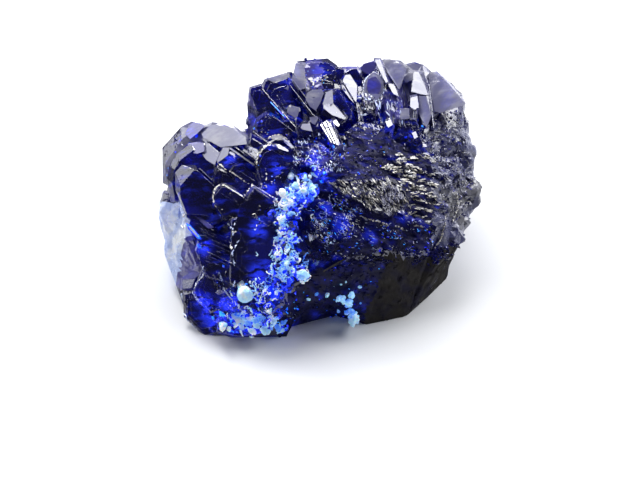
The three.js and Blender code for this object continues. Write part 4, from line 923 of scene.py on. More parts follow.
def step_marks(crystals, middle, along, across, face, places, rng):
    """Growth steps that climb towards one side of a face."""
    outward = face.normal
    turn = rng.uniform(0, math.tau)
    reach = 0.75 * min(max(abs(u) for u, _ in places), max(abs(v) for _, v in places))
    drift = Vector((math.cos(turn), math.sin(turn))) * reach
    rise = rng.uniform(0.025, 0.05) * MM
    for step in range(rng.randint(1, 3)):
        scale = 0.8 - 0.17 * step
        points = []
        for u, v in places:
            u, v = u * scale + drift.x * (1 - scale), v * scale + drift.y * (1 - scale)
            spot = middle + along * u + across * v
            points.append(spot + outward * rise * (step + 1))
            points.append(spot - outward * STEP_ROOT * MM)
        crystals.add(points, STEP_EDGE, face.material_index)


class Value:
    """A number socket that adds a Math node for each operator used on it."""

    def __init__(self, finish, socket):
        self.finish = finish
        self.socket = socket

    def maths(self, operation, other):
        """The outcome of a Math node with this value and another."""
        made = self.finish.node("ShaderNodeMath", {"operation": operation}, {0: self, 1: other})
        return Value(self.finish, made)

    def __add__(self, other):
        return self.maths("ADD", other)

    __radd__ = __add__

    def __mul__(self, other):
        return self.maths("MULTIPLY", other)

    __rmul__ = __mul__


class Finish:
    """A material and its nodes."""

    def __init__(self, name):
        self.material = bpy.data.materials.new(name)
        self.material.use_nodes = True
        self.tree = self.material.node_tree
        self.shader = self.tree.nodes["Principled BSDF"]
        self.output = self.tree.nodes["Material Output"]
        self.coords = self.tree.nodes.new("ShaderNodeTexCoord").outputs["Object"]

    def put(self, socket, value):
        """Links a value to a socket, or sets the socket to a plain one."""
        if isinstance(value, Value):
            value = value.socket
        if isinstance(value, bpy.types.NodeSocket):
            self.tree.links.new(value, socket)
        else:
            socket.default_value = value

    def node(self, kind, settings, inputs, output=0):
        """Makes a node: its settings first, then the values or links of its sockets."""
        made = self.tree.nodes.new(kind)
        for name, value in settings.items():
            setattr(made, name, value)
        for name, value in inputs.items():
            self.put(made.inputs[name], value)
        return made.outputs[output]

    def mapped(self, scale, turn):
        """The piece's own coordinates, stretched and turned. A scale of 1 makes one unit a millimetre."""
        return self.node(
            "ShaderNodeMapping", {},
            {"Vector": self.coords, "Rotation": turn, "Scale": tuple(s / MM for s in scale)},
        )

    def noise(self, scale, detail, turn=(0.0, 0.0, 0.0)):
        """Noise of so many patches to the millimetre along each axis."""
        return Value(self, self.node(
            "ShaderNodeTexNoise", {},
            {"Vector": self.mapped(scale, turn), "Scale": 1.0, "Detail": detail, "Roughness": 0.55},
        ))

    def spread(self, value, low, high, to_low=0.0, to_high=1.0):
        """The value moved from one range to another and held inside it."""
        return Value(self, self.node(
            "ShaderNodeMapRange", {"interpolation_type": "SMOOTHSTEP"},
            {"Value": value, "From Min": low, "From Max": high, "To Min": to_low, "To Max": to_high},
        ))

    def held(self, value):
        """The value held between 0 and 1."""
        return self.spread(value, 0, 1)

    def blend(self, share, first, second):
        """A colour between two settings."""
        return self.node(
            "ShaderNodeMix", {"data_type": "RGBA"}, {"Factor": share, 6: first, 7: second}, output=2,
        )

    def bump(self, height, strength, distance, normal=None):
        """Small hills of this height, on top of other bumps where a normal is given."""
        inputs = {"Height": height, "Strength": strength, "Distance": distance * MM}
        if normal is not None:
            inputs["Normal"] = normal
        return self.node("ShaderNodeBump", {}, inputs)


def glass(
    name, settings, colours, clearness, roughness, bumps, patch=0.5, shine=0.5, painted_glow_strength=0.0, painted_self_glow=0.0,
):
    """Azurite glass in two settings. It swallows red and green within a fraction of a millimetre. Emission
    paints a glow where asked: in the glass's own colours, or in patches of the glow colour.
    """
    finish = Finish(name)
    shader = finish.shader
    first, second = colours
    patches = finish.spread(finish.noise((patch, patch * 2.2, patch), 4, (0.7, 0, 0.6)), 0.4, 0.72)
    specks = finish.spread(finish.noise((9, 9, 9), 2), 0.66, 0.74, 0, 0.6)
    tint = finish.blend(finish.held(patches + specks), (*first, 1), (*second, 1))
    finish.put(shader.inputs["Base Color"], tint)
    # Painted glow: the base colour again as emission.
    if painted_self_glow:
        finish.put(shader.inputs["Emission Color"], tint)
        shader.inputs["Emission Strength"].default_value = painted_self_glow
    # Painted glow: emission in the glow colour, in patches where light is painted as if it gathers inside.
    if painted_glow_strength:
        glow = finish.blend(painted_glow_share(finish), (0, 0, 0, 1), (*settings.glow, 1))
        finish.put(shader.inputs["Emission Color"], glow)
        shader.inputs["Emission Strength"].default_value = painted_glow_strength
    smudges = finish.spread(finish.noise((1.3, 1.3, 1.3), 4), 0.45, 0.7, roughness, roughness * 2)
    finish.put(shader.inputs["Roughness"], smudges)
    shader.inputs["IOR"].default_value = settings.ior
    shader.inputs["Transmission Weight"].default_value = clearness
    shader.inputs["Specular IOR Level"].default_value = shine
    normal = finish.node("ShaderNodeBevel", {"samples": 4}, {"Radius": settings.edge_round})
    for scale, turn, strength, distance in bumps:
        normal = finish.bump(finish.noise(scale, 3, turn), strength, distance, normal)
    finish.put(shader.inputs["Normal"], normal)
    dim = finish.tree.nodes.new("ShaderNodeVolumeAbsorption")
    dim.inputs["Color"].default_value = (*settings.body_colour, 1)
    dim.inputs["Density"].default_value = settings.body_density
    finish.tree.links.new(dim.outputs["Volume"], finish.output.inputs["Volume"])
    return finish.material


def painted_glow_share(finish):
    """How strongly a place has the painted glow: streaks in a soft ball round each of the listed places, and
    veins.
    """
    total = None
    for x, y, reach in PAINTED_GLOWS:
        hit, _ = touch(x, y, WHOLE)
        away = finish.node(
            "ShaderNodeVectorMath", {"operation": "DISTANCE"}, {0: finish.coords, 1: hit}, output=1,
        )
        near = finish.spread(away, 0, reach * 1.1 * MM, 1, 0)
        total = near if total is None else total.maths("MAXIMUM", near)
    streaks = finish.spread(finish.noise((1.6, 5.0, 1.6), 5, (0.7, 0.2, 0.6)), 0.38, 0.57)
    veins = finish.spread(finish.noise((0.7, 2.6, 0.7), 6, (0.7, 0.2, 0.6)), 0.5, 0.72, 0.05, 0.45)
    return finish.held(total * streaks + veins)


# Bumps of the azurite: patches to the millimetre along each axis, turn, strength, height.
STRIPED = ((2, 9, 2), (0.5, 0, 0.6), 0.22, 0.02)
FINE = ((2, 9, 2), (0.5, 0, 0.6), 0.12, 0.02)
GRAINY = ((7, 7, 7), (0, 0, 0), 0.5, 0.05)
COARSE = ((4, 4, 4), (0, 0, 0), 0.7, 0.12)
WAVY = ((0.9, 0.9, 0.9), (0, 0, 0), 1.0, 0.1)
GENTLE = ((0.7, 0.7, 0.7), (0, 0, 0), 0.5, 0.06)


def azurite_finishes(settings):
    """The finishes of the azurite, in the order of their names."""
    return (
        # Own navy and blue, with a painted inner glow.
        glass(
            "clear_azurite", settings, (settings.navy, settings.blue), settings.clearness, 0.03,
            (WAVY, STRIPED), painted_glow_strength=0.95,
        ),
        # Own near-black and navy, with a painted inner glow.
        glass(
            "broken_azurite", settings, (settings.ink, settings.navy), 0.1, 0.35, (GRAINY,),
            patch=1.3, shine=0.04, painted_glow_strength=0.7,
        ),
        glass(
            "frosted_azurite", settings, (settings.lavender, settings.grey), 0.5, 0.18, (GRAINY,),
            patch=0.3,
        ),
        # Painted highlight: pale facets, rims and spots.
        glass("highlight_painted_azurite", settings, (settings.painted_highlight_beige, settings.white), 0.3, 0.1, (GRAINY,), patch=1.5),
        # Painted shade: near-black over the underside's own brown and blue.
        glass(
            "azurite_underside_painted_shade", settings, (settings.shade_painted_olive, settings.shade_painted_dusk), 0.1, 0.8, (COARSE, GRAINY),
            patch=0.6, shine=0.08,
        ),
        # Painted glints: saturated blue that glows by emission.
        glass(
            "glint_painted_azurite", settings, (settings.painted_glint_cobalt, settings.cyan), 0.4, 0.08, (STRIPED,),
            patch=1.8, painted_self_glow=0.9,
        ),
        # Own violet tone, with a painted inner glow.
        glass(
            "violet_azurite", settings, (settings.violet, settings.lilac), 0.4, 0.06, (WAVY, STRIPED),
            patch=0.6, painted_glow_strength=0.5,
        ),
        # Painted light through the thin azurite: pale blue-white that glows by emission.
        glass(
            "light_through_painted_azurite", settings, (settings.painted_glow_haze, settings.painted_glow_milk), 0.3, 0.2, (WAVY, STRIPED), painted_self_glow=0.12,
        ),
        # Painted sheen: pale grey that stands partly for the reflection of the bright backdrop.
        glass(
            "grey_sheen_painted_azurite", settings, (settings.painted_sheen_smoke_grey, settings.painted_sheen_ash_grey), 0.5, 0.09, (GENTLE, FINE),
            patch=0.4,
        ),
        # Painted sheen: the silvery look of the sheet.
        glass(
            "silver_sheen_painted_azurite", settings, (settings.painted_sheen_steel_grey, settings.painted_sheen_silver_grey), 0.3, 0.1, (STRIPED,),
            patch=1.5,
        ),
        # Painted sheen: a darker grey for facets turned to the soft boxes.
        glass(
            "ash_sheen_painted_azurite", settings, (settings.painted_sheen_smoke_grey, settings.painted_sheen_steel_grey), 0.5, 0.05, (WAVY, STRIPED),
            patch=0.4,
        ),
    )


def colour(name, description, value):
    """A colour to set in the sidebar."""
    return FloatVectorProperty(
        name=name, description=description, subtype="COLOR", size=3, min=0, max=1, default=value,
    )


class AzuriteGlass(bpy.types.PropertyGroup):
    """Colours and clearness of the azurite"""

    navy: colour("Navy", "Darkest patches of the clear azurite", (0.008, 0.007, 0.1))
    blue: colour("Blue", "Brightest patches of the clear azurite", (0.025, 0.03, 0.6))
    # Painted glow: the emission colour that paints light gathering inside the azurite.
    glow: colour("Glow", "The azurite where light gathers in it", (0.016, 0.036, 0.85))
    lavender: colour("Lavender", "Bluer patches of the frosted azurite", (0.13, 0.14, 0.34))
    grey: colour("Grey", "Paler patches of the frosted azurite", (0.33, 0.33, 0.38))
    # Painted highlight: the colours of the palest facets, rims and spots.
    painted_highlight_beige: colour("Beige", "Darker patches of the palest facets", (0.68, 0.64, 0.58))
    white: colour("White", "Palest patches of the palest facets", (0.95, 0.95, 0.96))
    ink: colour("Ink", "Darkest patches of the broken azurite", (0.004, 0.004, 0.03))
    violet: colour("Violet", "Darker patches of the violet azurite", (0.1, 0.09, 0.38))
    lilac: colour("Lilac", "Paler patches of the violet azurite", (0.21, 0.2, 0.55))
    # Painted light through the thin azurite: the pale blue and the near-white.
    painted_glow_haze: colour("Haze", "Bluer patches of the milky azurite", (0.5, 0.62, 1.0))
    painted_glow_milk: colour("Milk", "Paler patches of the milky azurite", (0.9, 0.94, 1.0))
    # Painted sheen: greys that stand partly for reflections of the bright backdrop.
    painted_sheen_smoke_grey: colour("Smoke", "Darker patches of the smoky azurite", (0.2, 0.2, 0.38))
    painted_sheen_ash_grey: colour("Ash", "Paler patches of the smoky azurite", (0.45, 0.45, 0.56))
    painted_sheen_steel_grey: colour("Steel", "Darker patches of the silvery azurite", (0.12, 0.12, 0.15))
    painted_sheen_silver_grey: colour("Silver", "Paler patches of the silvery azurite", (0.3, 0.3, 0.32))
    # Painted shade: the underside's near-black, over its own brown and blue tones.
    shade_painted_olive: colour("Olive", "Brown patches of the underside", (0.03, 0.027, 0.026))
    shade_painted_dusk: colour("Dusk", "Blue patches of the underside", (0.018, 0.017, 0.036))
    # Painted glints: the two blues of glints of internal reflection.
    painted_glint_cobalt: colour("Cobalt", "Darker part of the glints", (0.005, 0.01, 0.9))
    cyan: colour("Cyan", "Paler part of the glints", (0.04, 0.42, 1.0))
    body_colour: colour("Body colour", "Colour that the glass lets through", (0.0, 0.1, 0.93))
    body_density: FloatProperty(name="Body density", description="How fast the glass darkens", default=3500)
    ior: FloatProperty(name="IOR", description="How strongly the glass bends light", default=1.75)
    clearness: FloatProperty(
        name="Clearness", description="Share of the light that goes through", subtype="FACTOR",
        min=0, max=1, default=0.78,
    )
    edge_round: FloatProperty(
        name="Edge rounding", description="Radius of the worn edges", unit="LENGTH", precision=6,
        default=0.025 * MM,
    )


class PaleGrains(bpy.types.PropertyGroup):
    """Colours of the grains"""

    white: colour("White", "Colour of the palest grains", (0.86, 0.94, 1.0))
    cyan: colour("Cyan", "Colour of the pale blue grains", (0.42, 0.72, 0.98))
    blue: colour("Blue", "Colour of the bluer grains", (0.08, 0.27, 0.95))
    deep: colour("Deep", "Brightest patches of the deep blue bed", (0.01, 0.04, 0.95))
    dark: colour("Dark", "Darkest patches of the deep blue bed", (0.003, 0.004, 0.06))


class StudioStage(bpy.types.PropertyGroup):
    """The floor and the dome"""

    floor_colour: colour("Floor", "Colour of the plain floor", (0.86, 0.87, 0.89))
    dome: FloatProperty(name="Dome", description="Brightness of the soft dome", default=0.45)
    hollow: FloatProperty(name="Hollow", description="Brightness of the dome's dim front", default=0.06)


def ride_as(piece, slot, *nodes):
    """Fastens a finished piece to the cluster, and lets it stand for these nodes of the solid model."""
    bpy.context.scene.collection.objects.link(piece)
    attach(piece, "root")
    if nodes:
        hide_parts(*nodes)


class GrowCluster(bpy.types.Operator):
    """Grow the azurite: the solid's own forms, with facets, steps, ridges and broken ground on them"""

    bl_idname = "azurite.grow_cluster"
    bl_label = "Grow the azurite cluster"

    # Ground is worn above this height, this many times over.
    WORN_FROM = 0.5
    TIMES_WORN = 3
    # Faces that turn less than this from one another become one face.
    ONE_FACE = math.radians(0.6)
    # Edges in the broken ground are cut until they are no longer than this, at most this many times.
    LONGEST_EDGE = 0.5
    MOST_CUTS = 5
    # The ground is roughened above this height, by two sizes of hill: number to the millimetre, height.
    ROUGH_FROM = 0.3
    LARGE_HILLS = (1.7, 0.09)
    SMALL_HILLS = (5, 0.04)
    # Torn edges that start left of and below this drawn place get the painted light through the azurite, the
    # others the painted highlight.
    PAINTED_GLOW_EDGES = (2.0, 2.1)
    HILLOCK_CORNERS = 16
    SHARDS_PER_SPOT = 5
    # Crystals strewn on every side: number, smallest and largest size.
    STREWN = 900
    STREWN_SIZES = (0.05, 0.15)

    def execute(self, context):
        # Flakes and chips are pieces of their own, so that no piece has too many triangles.
        crystals = Crystals(azurite_finishes(context.scene.azurite_glass))
        flakes = Crystals(crystals.finishes)
        chips = Crystals(crystals.finishes)
        body, ground = self.body(context, crystals)
        front = Drawing(crystals, ground, seed=7)
        self.plates(front)
        front.crystals = flakes
        self.broken_face(front)
        front.crystals = chips
        self.rough_sides(front)
        self.hidden_sides(crystals, ground)
        piece = bpy.data.objects.new("azurite_blades", crystals.joined_with(body))
        ride_as(piece, "azurite", "azurite_cluster")
        ride_as(bpy.data.objects.new("azurite_flakes", flakes.joined()), "azurite")
        ride_as(bpy.data.objects.new("azurite_chips", chips.joined()), "azurite")
        return {"FINISHED"}

    def body(self, context, crystals):
        """The solid's own forms, worn soft where the ground is broken, and a tree of their faces."""
        bm = bmesh.new()
        bm.from_mesh(frame["nodes"]["azurite_cluster"].data)
        bmesh.ops.remove_doubles(bm, verts=bm.verts, dist=WELD)
        bmesh.ops.recalc_face_normals(bm, faces=bm.faces)
        worn = [
            v for v in bm.verts
            if v.co.z > self.WORN_FROM * MM
            and (v.co.x > FLANK_START * MM or zone(v.co, v.normal) in (FROSTED, BROKEN))
        ]
        for _ in range(self.TIMES_WORN):
            bmesh.ops.smooth_vert(
                bm, verts=worn, factor=0.5, use_axis_x=True, use_axis_y=True, use_axis_z=True,
            )
        bmesh.ops.dissolve_limit(bm, angle_limit=self.ONE_FACE, verts=bm.verts, edges=bm.edges)
        self.roughen(bm)
        for face in bm.faces:
            face.material_index = zone(face.calc_center_median(), face.normal)
        growth_marks(bm, crystals, seed=3)
        mesh = bpy.data.meshes.new("azurite_body")
        bm.to_mesh(mesh)
        ground = BVHTree.FromBMesh(bm)
        bm.free()
        for finish in crystals.finishes:
            mesh.materials.append(finish)
        body = bpy.data.objects.new("azurite_body", mesh)
        context.scene.collection.objects.link(body)
        return body, ground

    def roughen(self, bm):
        """Cuts the broken ground into small uneven faces."""
        bmesh.ops.triangulate(bm, faces=[f for f in bm.faces if is_rough(f)])
        for _ in range(self.MOST_CUTS):
            long_edges = [
                e for e in bm.edges
                if e.calc_length() > self.LONGEST_EDGE * MM and any(is_rough(f) for f in e.link_faces)
            ]
            if not long_edges:
                break
            bmesh.ops.subdivide_edges(bm, edges=long_edges, cuts=1)
            cut_faces = [f for f in bm.faces if len(f.verts) > 3 and self.borders_rough(f)]
            bmesh.ops.triangulate(bm, faces=cut_faces)
        bm.normal_update()
        for v in bm.verts:
            if v.co.z > self.ROUGH_FROM * MM and zone(v.co, v.normal) in ROUGH_FINISHES:
                push = 0
                for hills, height in (self.LARGE_HILLS, self.SMALL_HILLS):
                    push += noise.noise(v.co / MM * hills) * height
                v.co += v.normal * push * MM

    def borders_rough(self, face):
        """Whether a face shares one of its longer edges with broken ground."""
        longer = [e for e in face.edges if e.calc_length() > 0.8 * self.LONGEST_EDGE * MM]
        return any(is_rough(other) for e in longer for other in e.link_faces)

    def plates(self, front):
        """Nested plates, growth steps, facets, bars, bright edges, glints and white spots; the edges, glints
        and spots are painted light.
        """
        for face, rim, lift, fall in LEFT_PLATES:
            front.plate(face, rim, lift, fall)
        for outline, count, shift in STEPPED_FACES:
            front.terraces(outline, count, shift)
        for outline, shows, lift, finish in FACETS:
            front.facet(outline, shows, lift, finish)
        for start, end, width, shows, finish in BARS:
            front.bar(start, end, width, shows, finish)
        for line in EDGES:
            x, y = line[0]
            # Painted light: edges low on the left get the pale glowing finish, the rest the painted
            # highlight.
            milky = x < self.PAINTED_GLOW_EDGES[0] and y < self.PAINTED_GLOW_EDGES[1]
            front.edge(line, PAINTED_LIGHT_THROUGH if milky else PAINTED_HIGHLIGHT, 0.08)
        for line in HILLOCK_FOOT:
            front.edge(line, PAINTED_LIGHT_THROUGH, 0.09, 0.4)
        self.hillock(front)
        # Painted glints: small vivid blue crystals that glow.
        for x, y, half in GLINTS:
            front.stroke(x, y, front.random.uniform(-70, -20), half * 2, half * 1.4, 0.05, PAINTED_GLINT)
        for x, y, radius in WHITE_SPOTS:
            for _ in range(self.SHARDS_PER_SPOT):
                front.shard(
                    x + front.random.gauss(0, radius * 0.5), y + front.random.gauss(0, radius * 0.5),
                    front.random.uniform(0, 180), radius * 1.6, radius, BACK, PAINTED_HIGHLIGHT,
                )
        for region, count in DOTTED_FACES:
            front.chips(region, count, 0.03, 0.065, (PAINTED_HIGHLIGHT, PAINTED_HIGHLIGHT, PAINTED_GLINT, CLEAR))

    def hillock(self, front):
        """A violet oval with a dark heart and broken rings round it, whose bright edges are painted light.
        """
        x, y, wide, high = HILLOCK
        for scale, shows, lift, finish, gaps in HILLOCK_RINGS:
            oval = []
            for i in range(self.HILLOCK_CORNERS):
                turn = math.tau * i / self.HILLOCK_CORNERS
                reach = scale * front.random.uniform(0.88, 1.1)
                oval.append((x + wide * reach * math.cos(turn), y + high * reach * math.sin(turn)))
            front.facet(oval, shows, lift, finish)
            front.edge([*oval, oval[0]], PAINTED_LIGHT_THROUGH, 0.1, gaps)
            front.edge([*oval, oval[0]], PAINTED_SILVER_SHEEN, 0.08, gaps)

    def broken_face(self, front):
        """The fractured face, its sheet and ridges, where silvery and white shards paint sheen and
        highlights.

        Shards and strokes: region, number, angle, swing, length and width. Shards go on with what they
        show, their finishes and how they wander, strokes with their rise and finishes. Chips: region,
        number, smallest and largest size, finishes.
        """
        front.shards(SHEET, 900, -52, 20, 0.5, 0.08, BACK, (PAINTED_SILVER_SHEEN, PAINTED_SILVER_SHEEN, PAINTED_HIGHLIGHT, BROKEN), 0.36)
        front.strokes(SHEET, 110, -52, 16, 0.6, 0.07, 0.12, (BROKEN,))
        front.shards(SMOOTH_PATCH, 130, -62, 8, 0.6, 0.22, LEFT, (PAINTED_ASH_SHEEN,), 0.05)
        front.shards(SMOOTH_PATCH, 24, -60, 12, 0.4, 0.09, BACK, (PAINTED_SILVER_SHEEN,), 0.12)
        front.rows(RIDGE_ROWS, BACK, (PAINTED_SILVER_SHEEN, PAINTED_HIGHLIGHT, PAINTED_HIGHLIGHT))
        front.strokes(RIDGED_FACE, 90, -18, 16, 0.3, 0.07, 0.06, (BROKEN,))
        front.chips(ROUGH_FACE, 600, 0.03, 0.1, (BROKEN,))
        front.shards(ROUGH_FACE, 460, -30, 32, 0.2, 0.05, BACK, (CLEAR, PAINTED_LIGHT_THROUGH, PAINTED_LIGHT_THROUGH, VIOLET, PAINTED_GLINT), 0.3)
        front.shards(ROUGH_LEFT, 300, -50, 34, 0.22, 0.05, BACK, (PAINTED_LIGHT_THROUGH, PAINTED_LIGHT_THROUGH, PAINTED_HIGHLIGHT, CLEAR), 0.3)
        front.chips(DARK_FACE, 160, 0.03, 0.1, (BROKEN,))
        front.shards(DARK_FACE, 90, -30, 60, 0.12, 0.05, BACK, (CLEAR, VIOLET), 0.3)
        front.chips(KNOB, 80, 0.05, 0.13, (BROKEN,))
        front.shards(KNOB, 20, -80, 30, 0.2, 0.06, BACK, (CLEAR, VIOLET), 0.2)

    def rough_sides(self, front):
        """The rough flank, speckled hollows, the blades' own marks and the underside, given likewise."""
        front.chips(FLANK_CREST, 480, 0.05, 0.13, (FROSTED, FROSTED, VIOLET, CLEAR, BROKEN))
        front.shards(FLANK_CREST, 420, -60, 40, 0.18, 0.07, BACK, (CLEAR, PAINTED_SILVER_SHEEN, FROSTED, BROKEN), 0.3)
        front.chips(VIOLET_NECK, 90, 0.03, 0.09, (VIOLET, PAINTED_LIGHT_THROUGH, PAINTED_GLINT))
        front.shards(SPECKLED_NECK, 260, -75, 34, 0.24, 0.06, BACK, (CLEAR, PAINTED_LIGHT_THROUGH, VIOLET, PAINTED_LIGHT_THROUGH), 0.3)
        front.chips(SPECKLED_NECK, 90, 0.04, 0.12, (CLEAR, BROKEN))
        front.chips(TOP_WINDOWS, 70, 0.04, 0.12, (PAINTED_GREY_SHEEN, CLEAR, CLEAR, VIOLET))
        front.shards(TOP_WINDOWS, 110, -78, 12, 0.5, 0.1, SKY, (VIOLET, PAINTED_GREY_SHEEN, PAINTED_ASH_SHEEN, PAINTED_LIGHT_THROUGH), 0.2)
        front.shards(TOP_WINDOWS, 60, -80, 25, 0.2, 0.06, BACK, (CLEAR, PAINTED_GREY_SHEEN, PAINTED_LIGHT_THROUGH), 0.3)
        front.chips(LOWER_LEFT, 90, 0.04, 0.12, (CLEAR, PAINTED_GLINT))
        front.shards(LOWER_LEFT, 150, -40, 50, 0.13, 0.06, BACK, (CLEAR, PAINTED_GLINT, PAINTED_GLINT, PAINTED_LIGHT_THROUGH), 0.3)
        front.strokes(STRIATED, 160, -27, 5, 0.5, 0.05, 0.03, (CLEAR, CLEAR, VIOLET))
        front.strokes(SCALED, 130, -50, 26, 0.4, 0.14, 0.05, (CLEAR,))
        front.shards(SCALED, 70, -45, 30, 0.3, 0.05, BACK, (CLEAR, VIOLET), 0.3)
        # Painted shade: dark chips on the underside.
        front.chips(UNDER_RIGHT, 160, 0.06, 0.18, (PAINTED_SHADE_UNDERSIDE,), flat=0.4)
        # Painted shade: dark chips under the left lobe, with glints among them.
        front.chips(UNDER_LEFT, 300, 0.05, 0.18, (BROKEN,), flat=0.5)
        front.shards(UNDER_LEFT, 70, -20, 40, 0.14, 0.05, BACK, (CLEAR, PAINTED_GLINT), 0.3)
        front.strokes(BOUNDARY, 300, -4, 26, 0.3, 0.14, 0.1, (BROKEN, BROKEN, CLEAR))

    def hidden_sides(self, crystals, ground):
        """Small crystals strewn on every other side."""
        for hit, normal, rng in all_round(ground, self.STREWN, seed=19, low=-0.2, high=0.95):
            size = rng.uniform(*self.STREWN_SIZES) * MM
            finish = zone(hit, normal)
            if finish == CLEAR:
                finish = rng.choice((CLEAR, CLEAR, BROKEN))
            crystals.add(chip_points(hit - normal * size * 0.4, size, 0.6, rng), finish=finish)


def ball(detail):
    """The corners and faces of a round ball, to be roughened."""
    bm = bmesh.new()
    bmesh.ops.create_icosphere(bm, subdivisions=detail, radius=1.0)
    bm.verts.index_update()
    corners = [v.co.copy() for v in bm.verts]
    faces = [[v.index for v in face.verts] for face in bm.faces]
    bm.free()
    return corners, faces


BALLS = {detail: ball(detail) for detail in (1, 2, 3, 4)}


class Grains:
    """Rough rounded grains, gathered into one mesh."""

    # Grains that fill a node's room lie under this share of its faces, and this far below them.
    FILLED = 0.5
    COVER = 0.02

    def __init__(self, seed):
        self.random = random.Random(seed)
        self.corners = []
        self.faces = []
        self.kinds = []

    def add(self, middle, radius, stretch, rough=0.5, detail=2, kind=WHITE_GRAIN):
        """Adds one grain, turned at random, stretched along its axes and roughened."""
        rng = self.random
        turn = any_turn(rng)
        seed = Vector([rng.uniform(0, 99) for _ in range(3)])
        ball_corners, ball_faces = BALLS[detail]
        start = len(self.corners)
        for corner in ball_corners:
            push = 1 + rough * noise.noise(corner * 1.6 + seed)
            push += rough * 0.5 * noise.noise(corner * 4 + seed)
            place = Vector([c * s * push for c, s in zip(corner, stretch)])
            spot = middle + turn @ place * (radius * MM)
            spot.z = max(spot.z, LOWEST_GRAIN * MM)
            self.corners.append(spot)
        self.faces.extend([start + i for i in face] for face in ball_faces)
        self.kinds.extend([kind] * len(ball_faces))

    def pile(self, patches, tree, kind, form=(1.0, 0.8, 0.75)):
        """Grains piled on the tree's faces round each place of a list."""
        rng = self.random
        for x, y, spread, count, low, high in patches:
            for _ in range(count):
                hit, normal = touch(x + rng.gauss(0, spread * 0.6), y + rng.gauss(0, spread * 0.6), tree)
                if hit is None:
                    continue
                radius = low + (high - low) * rng.random() ** 2
                stretch = [share * rng.uniform(0.75, 1.25) for share in form]
                self.add(hit + normal * radius * 0.2 * MM, radius, stretch, kind=kind)

    def threads(self, patches, tree):
        """Short wandering rows of small grains, which leave holes between them."""
        rng = self.random
        for x0, y0, spread, count, low, high in patches:
            for _ in range(count):
                x, y = x0 + rng.gauss(0, spread * 0.7), y0 + rng.gauss(0, spread * 0.7)
                heading = rng.uniform(0, math.tau)
                radius = rng.uniform(low, high) * 1.35
                for _ in range(rng.randint(4, 12)):
                    hit, normal = touch(x, y, tree)
                    if hit is not None:
                        self.add(hit + normal * radius * 0.5 * MM, radius, (1.2, 1.0, 1.0), 0.25, 1)
                    heading += rng.gauss(0, 0.45)
                    x += math.cos(heading) * radius * 0.9
                    y += math.sin(heading) * radius * 0.9
                    radius *= rng.uniform(0.8, 1.1)

    def lace(self, patches, tree):
        """Thin wavering walls round small hollows."""
        rng = self.random
        for x0, y0, spread, count, low, high in patches:
            for _ in range(count):
                x, y = x0 + rng.gauss(0, spread * 0.7), y0 + rng.gauss(0, spread * 0.7)
                kind = rng.choice((WHITE_GRAIN, WHITE_GRAIN, SKY_GRAIN))
                reach, radius = rng.uniform(0.1, 0.24), rng.uniform(low, high)
                first, second = rng.uniform(0, math.tau), rng.uniform(0, math.tau)
                open_part = rng.uniform(0, 0.5)
                balls = max(6, round(math.tau * reach / (radius * 1.1)))
                for i in range(round(balls * open_part), balls):
                    turn = math.tau * i / balls + first
                    waver = 1 + 0.35 * math.sin(2 * turn + first) + 0.2 * math.sin(5 * turn + second)
                    away = reach * waver
                    hit, normal = touch(x + away * math.cos(turn), y + away * math.sin(turn), tree)
                    if hit is not None:
                        thick = radius * rng.uniform(0.7, 1.35)
                        self.add(hit + normal * thick * 0.7 * MM, thick, (1.3, 1.0, 1.1), 0.3, 1, kind)

    def fill(self, node, radius, kind):
        """Grains that fill the room of a node's own grains."""
        copy = bmesh.new()
        copy.from_mesh(frame["nodes"][node].data)
        bmesh.ops.remove_doubles(copy, verts=copy.verts, dist=WELD)
        for face in copy.faces:
            if self.random.random() < self.FILLED:
                middle = face.calc_center_median() - face.normal * (radius + self.COVER) * MM
                self.add(middle, radius * self.random.uniform(0.7, 1.1), (1, 0.9, 0.8), kind=kind)
        copy.free()

    def lumps(self, places, tree, sink, stretch, rough):
        """One larger grain at each place of a list, sunk by this share of its radius."""
        for x, y, radius, kind in places:
            hit, normal = touch(x, y, tree)
            self.add(hit - normal * radius * sink * MM, radius, stretch, rough, 3, kind)

    def tree(self, under):
        """A tree of these grains and of the mesh under them."""
        start = len(self.corners)
        corners = self.corners + [v.co.copy() for v in under.vertices]
        faces = self.faces + [[start + i for i in p.vertices] for p in under.polygons]
        return BVHTree.FromPolygons(corners, faces)

    def piece(self, name, nodes, settings):
        """Makes these grains one piece, which stands for these nodes of the solid model."""
        mesh = bpy.data.meshes.new(name)
        mesh.from_pydata(self.corners, [], self.faces)
        mesh.polygons.foreach_set("use_smooth", [True] * len(self.faces))
        mesh.polygons.foreach_set("material_index", self.kinds)
        piece = bpy.data.objects.new(name, mesh)
        for finish in grain_finishes(settings):
            mesh.materials.append(finish)
        ride_as(piece, "pale_grains", *nodes)


def grain_finishes(settings):
    """The finishes of the grains, in the order of their kinds. They are made once, then found by name."""
    # Each row: name, two colours, strength of the painted glow, patches to the millimetre.
    rows = (
        ("white_grain", settings.cyan, settings.white, 0.2, 0.9),
        ("sky_grain", settings.blue, settings.cyan, 0.3, 0.9),
        ("deep_grain", settings.dark, settings.deep, 0.5, 2.2),
    )
    return [bpy.data.materials.get(row[0]) or grain_finish(*row) for row in rows]


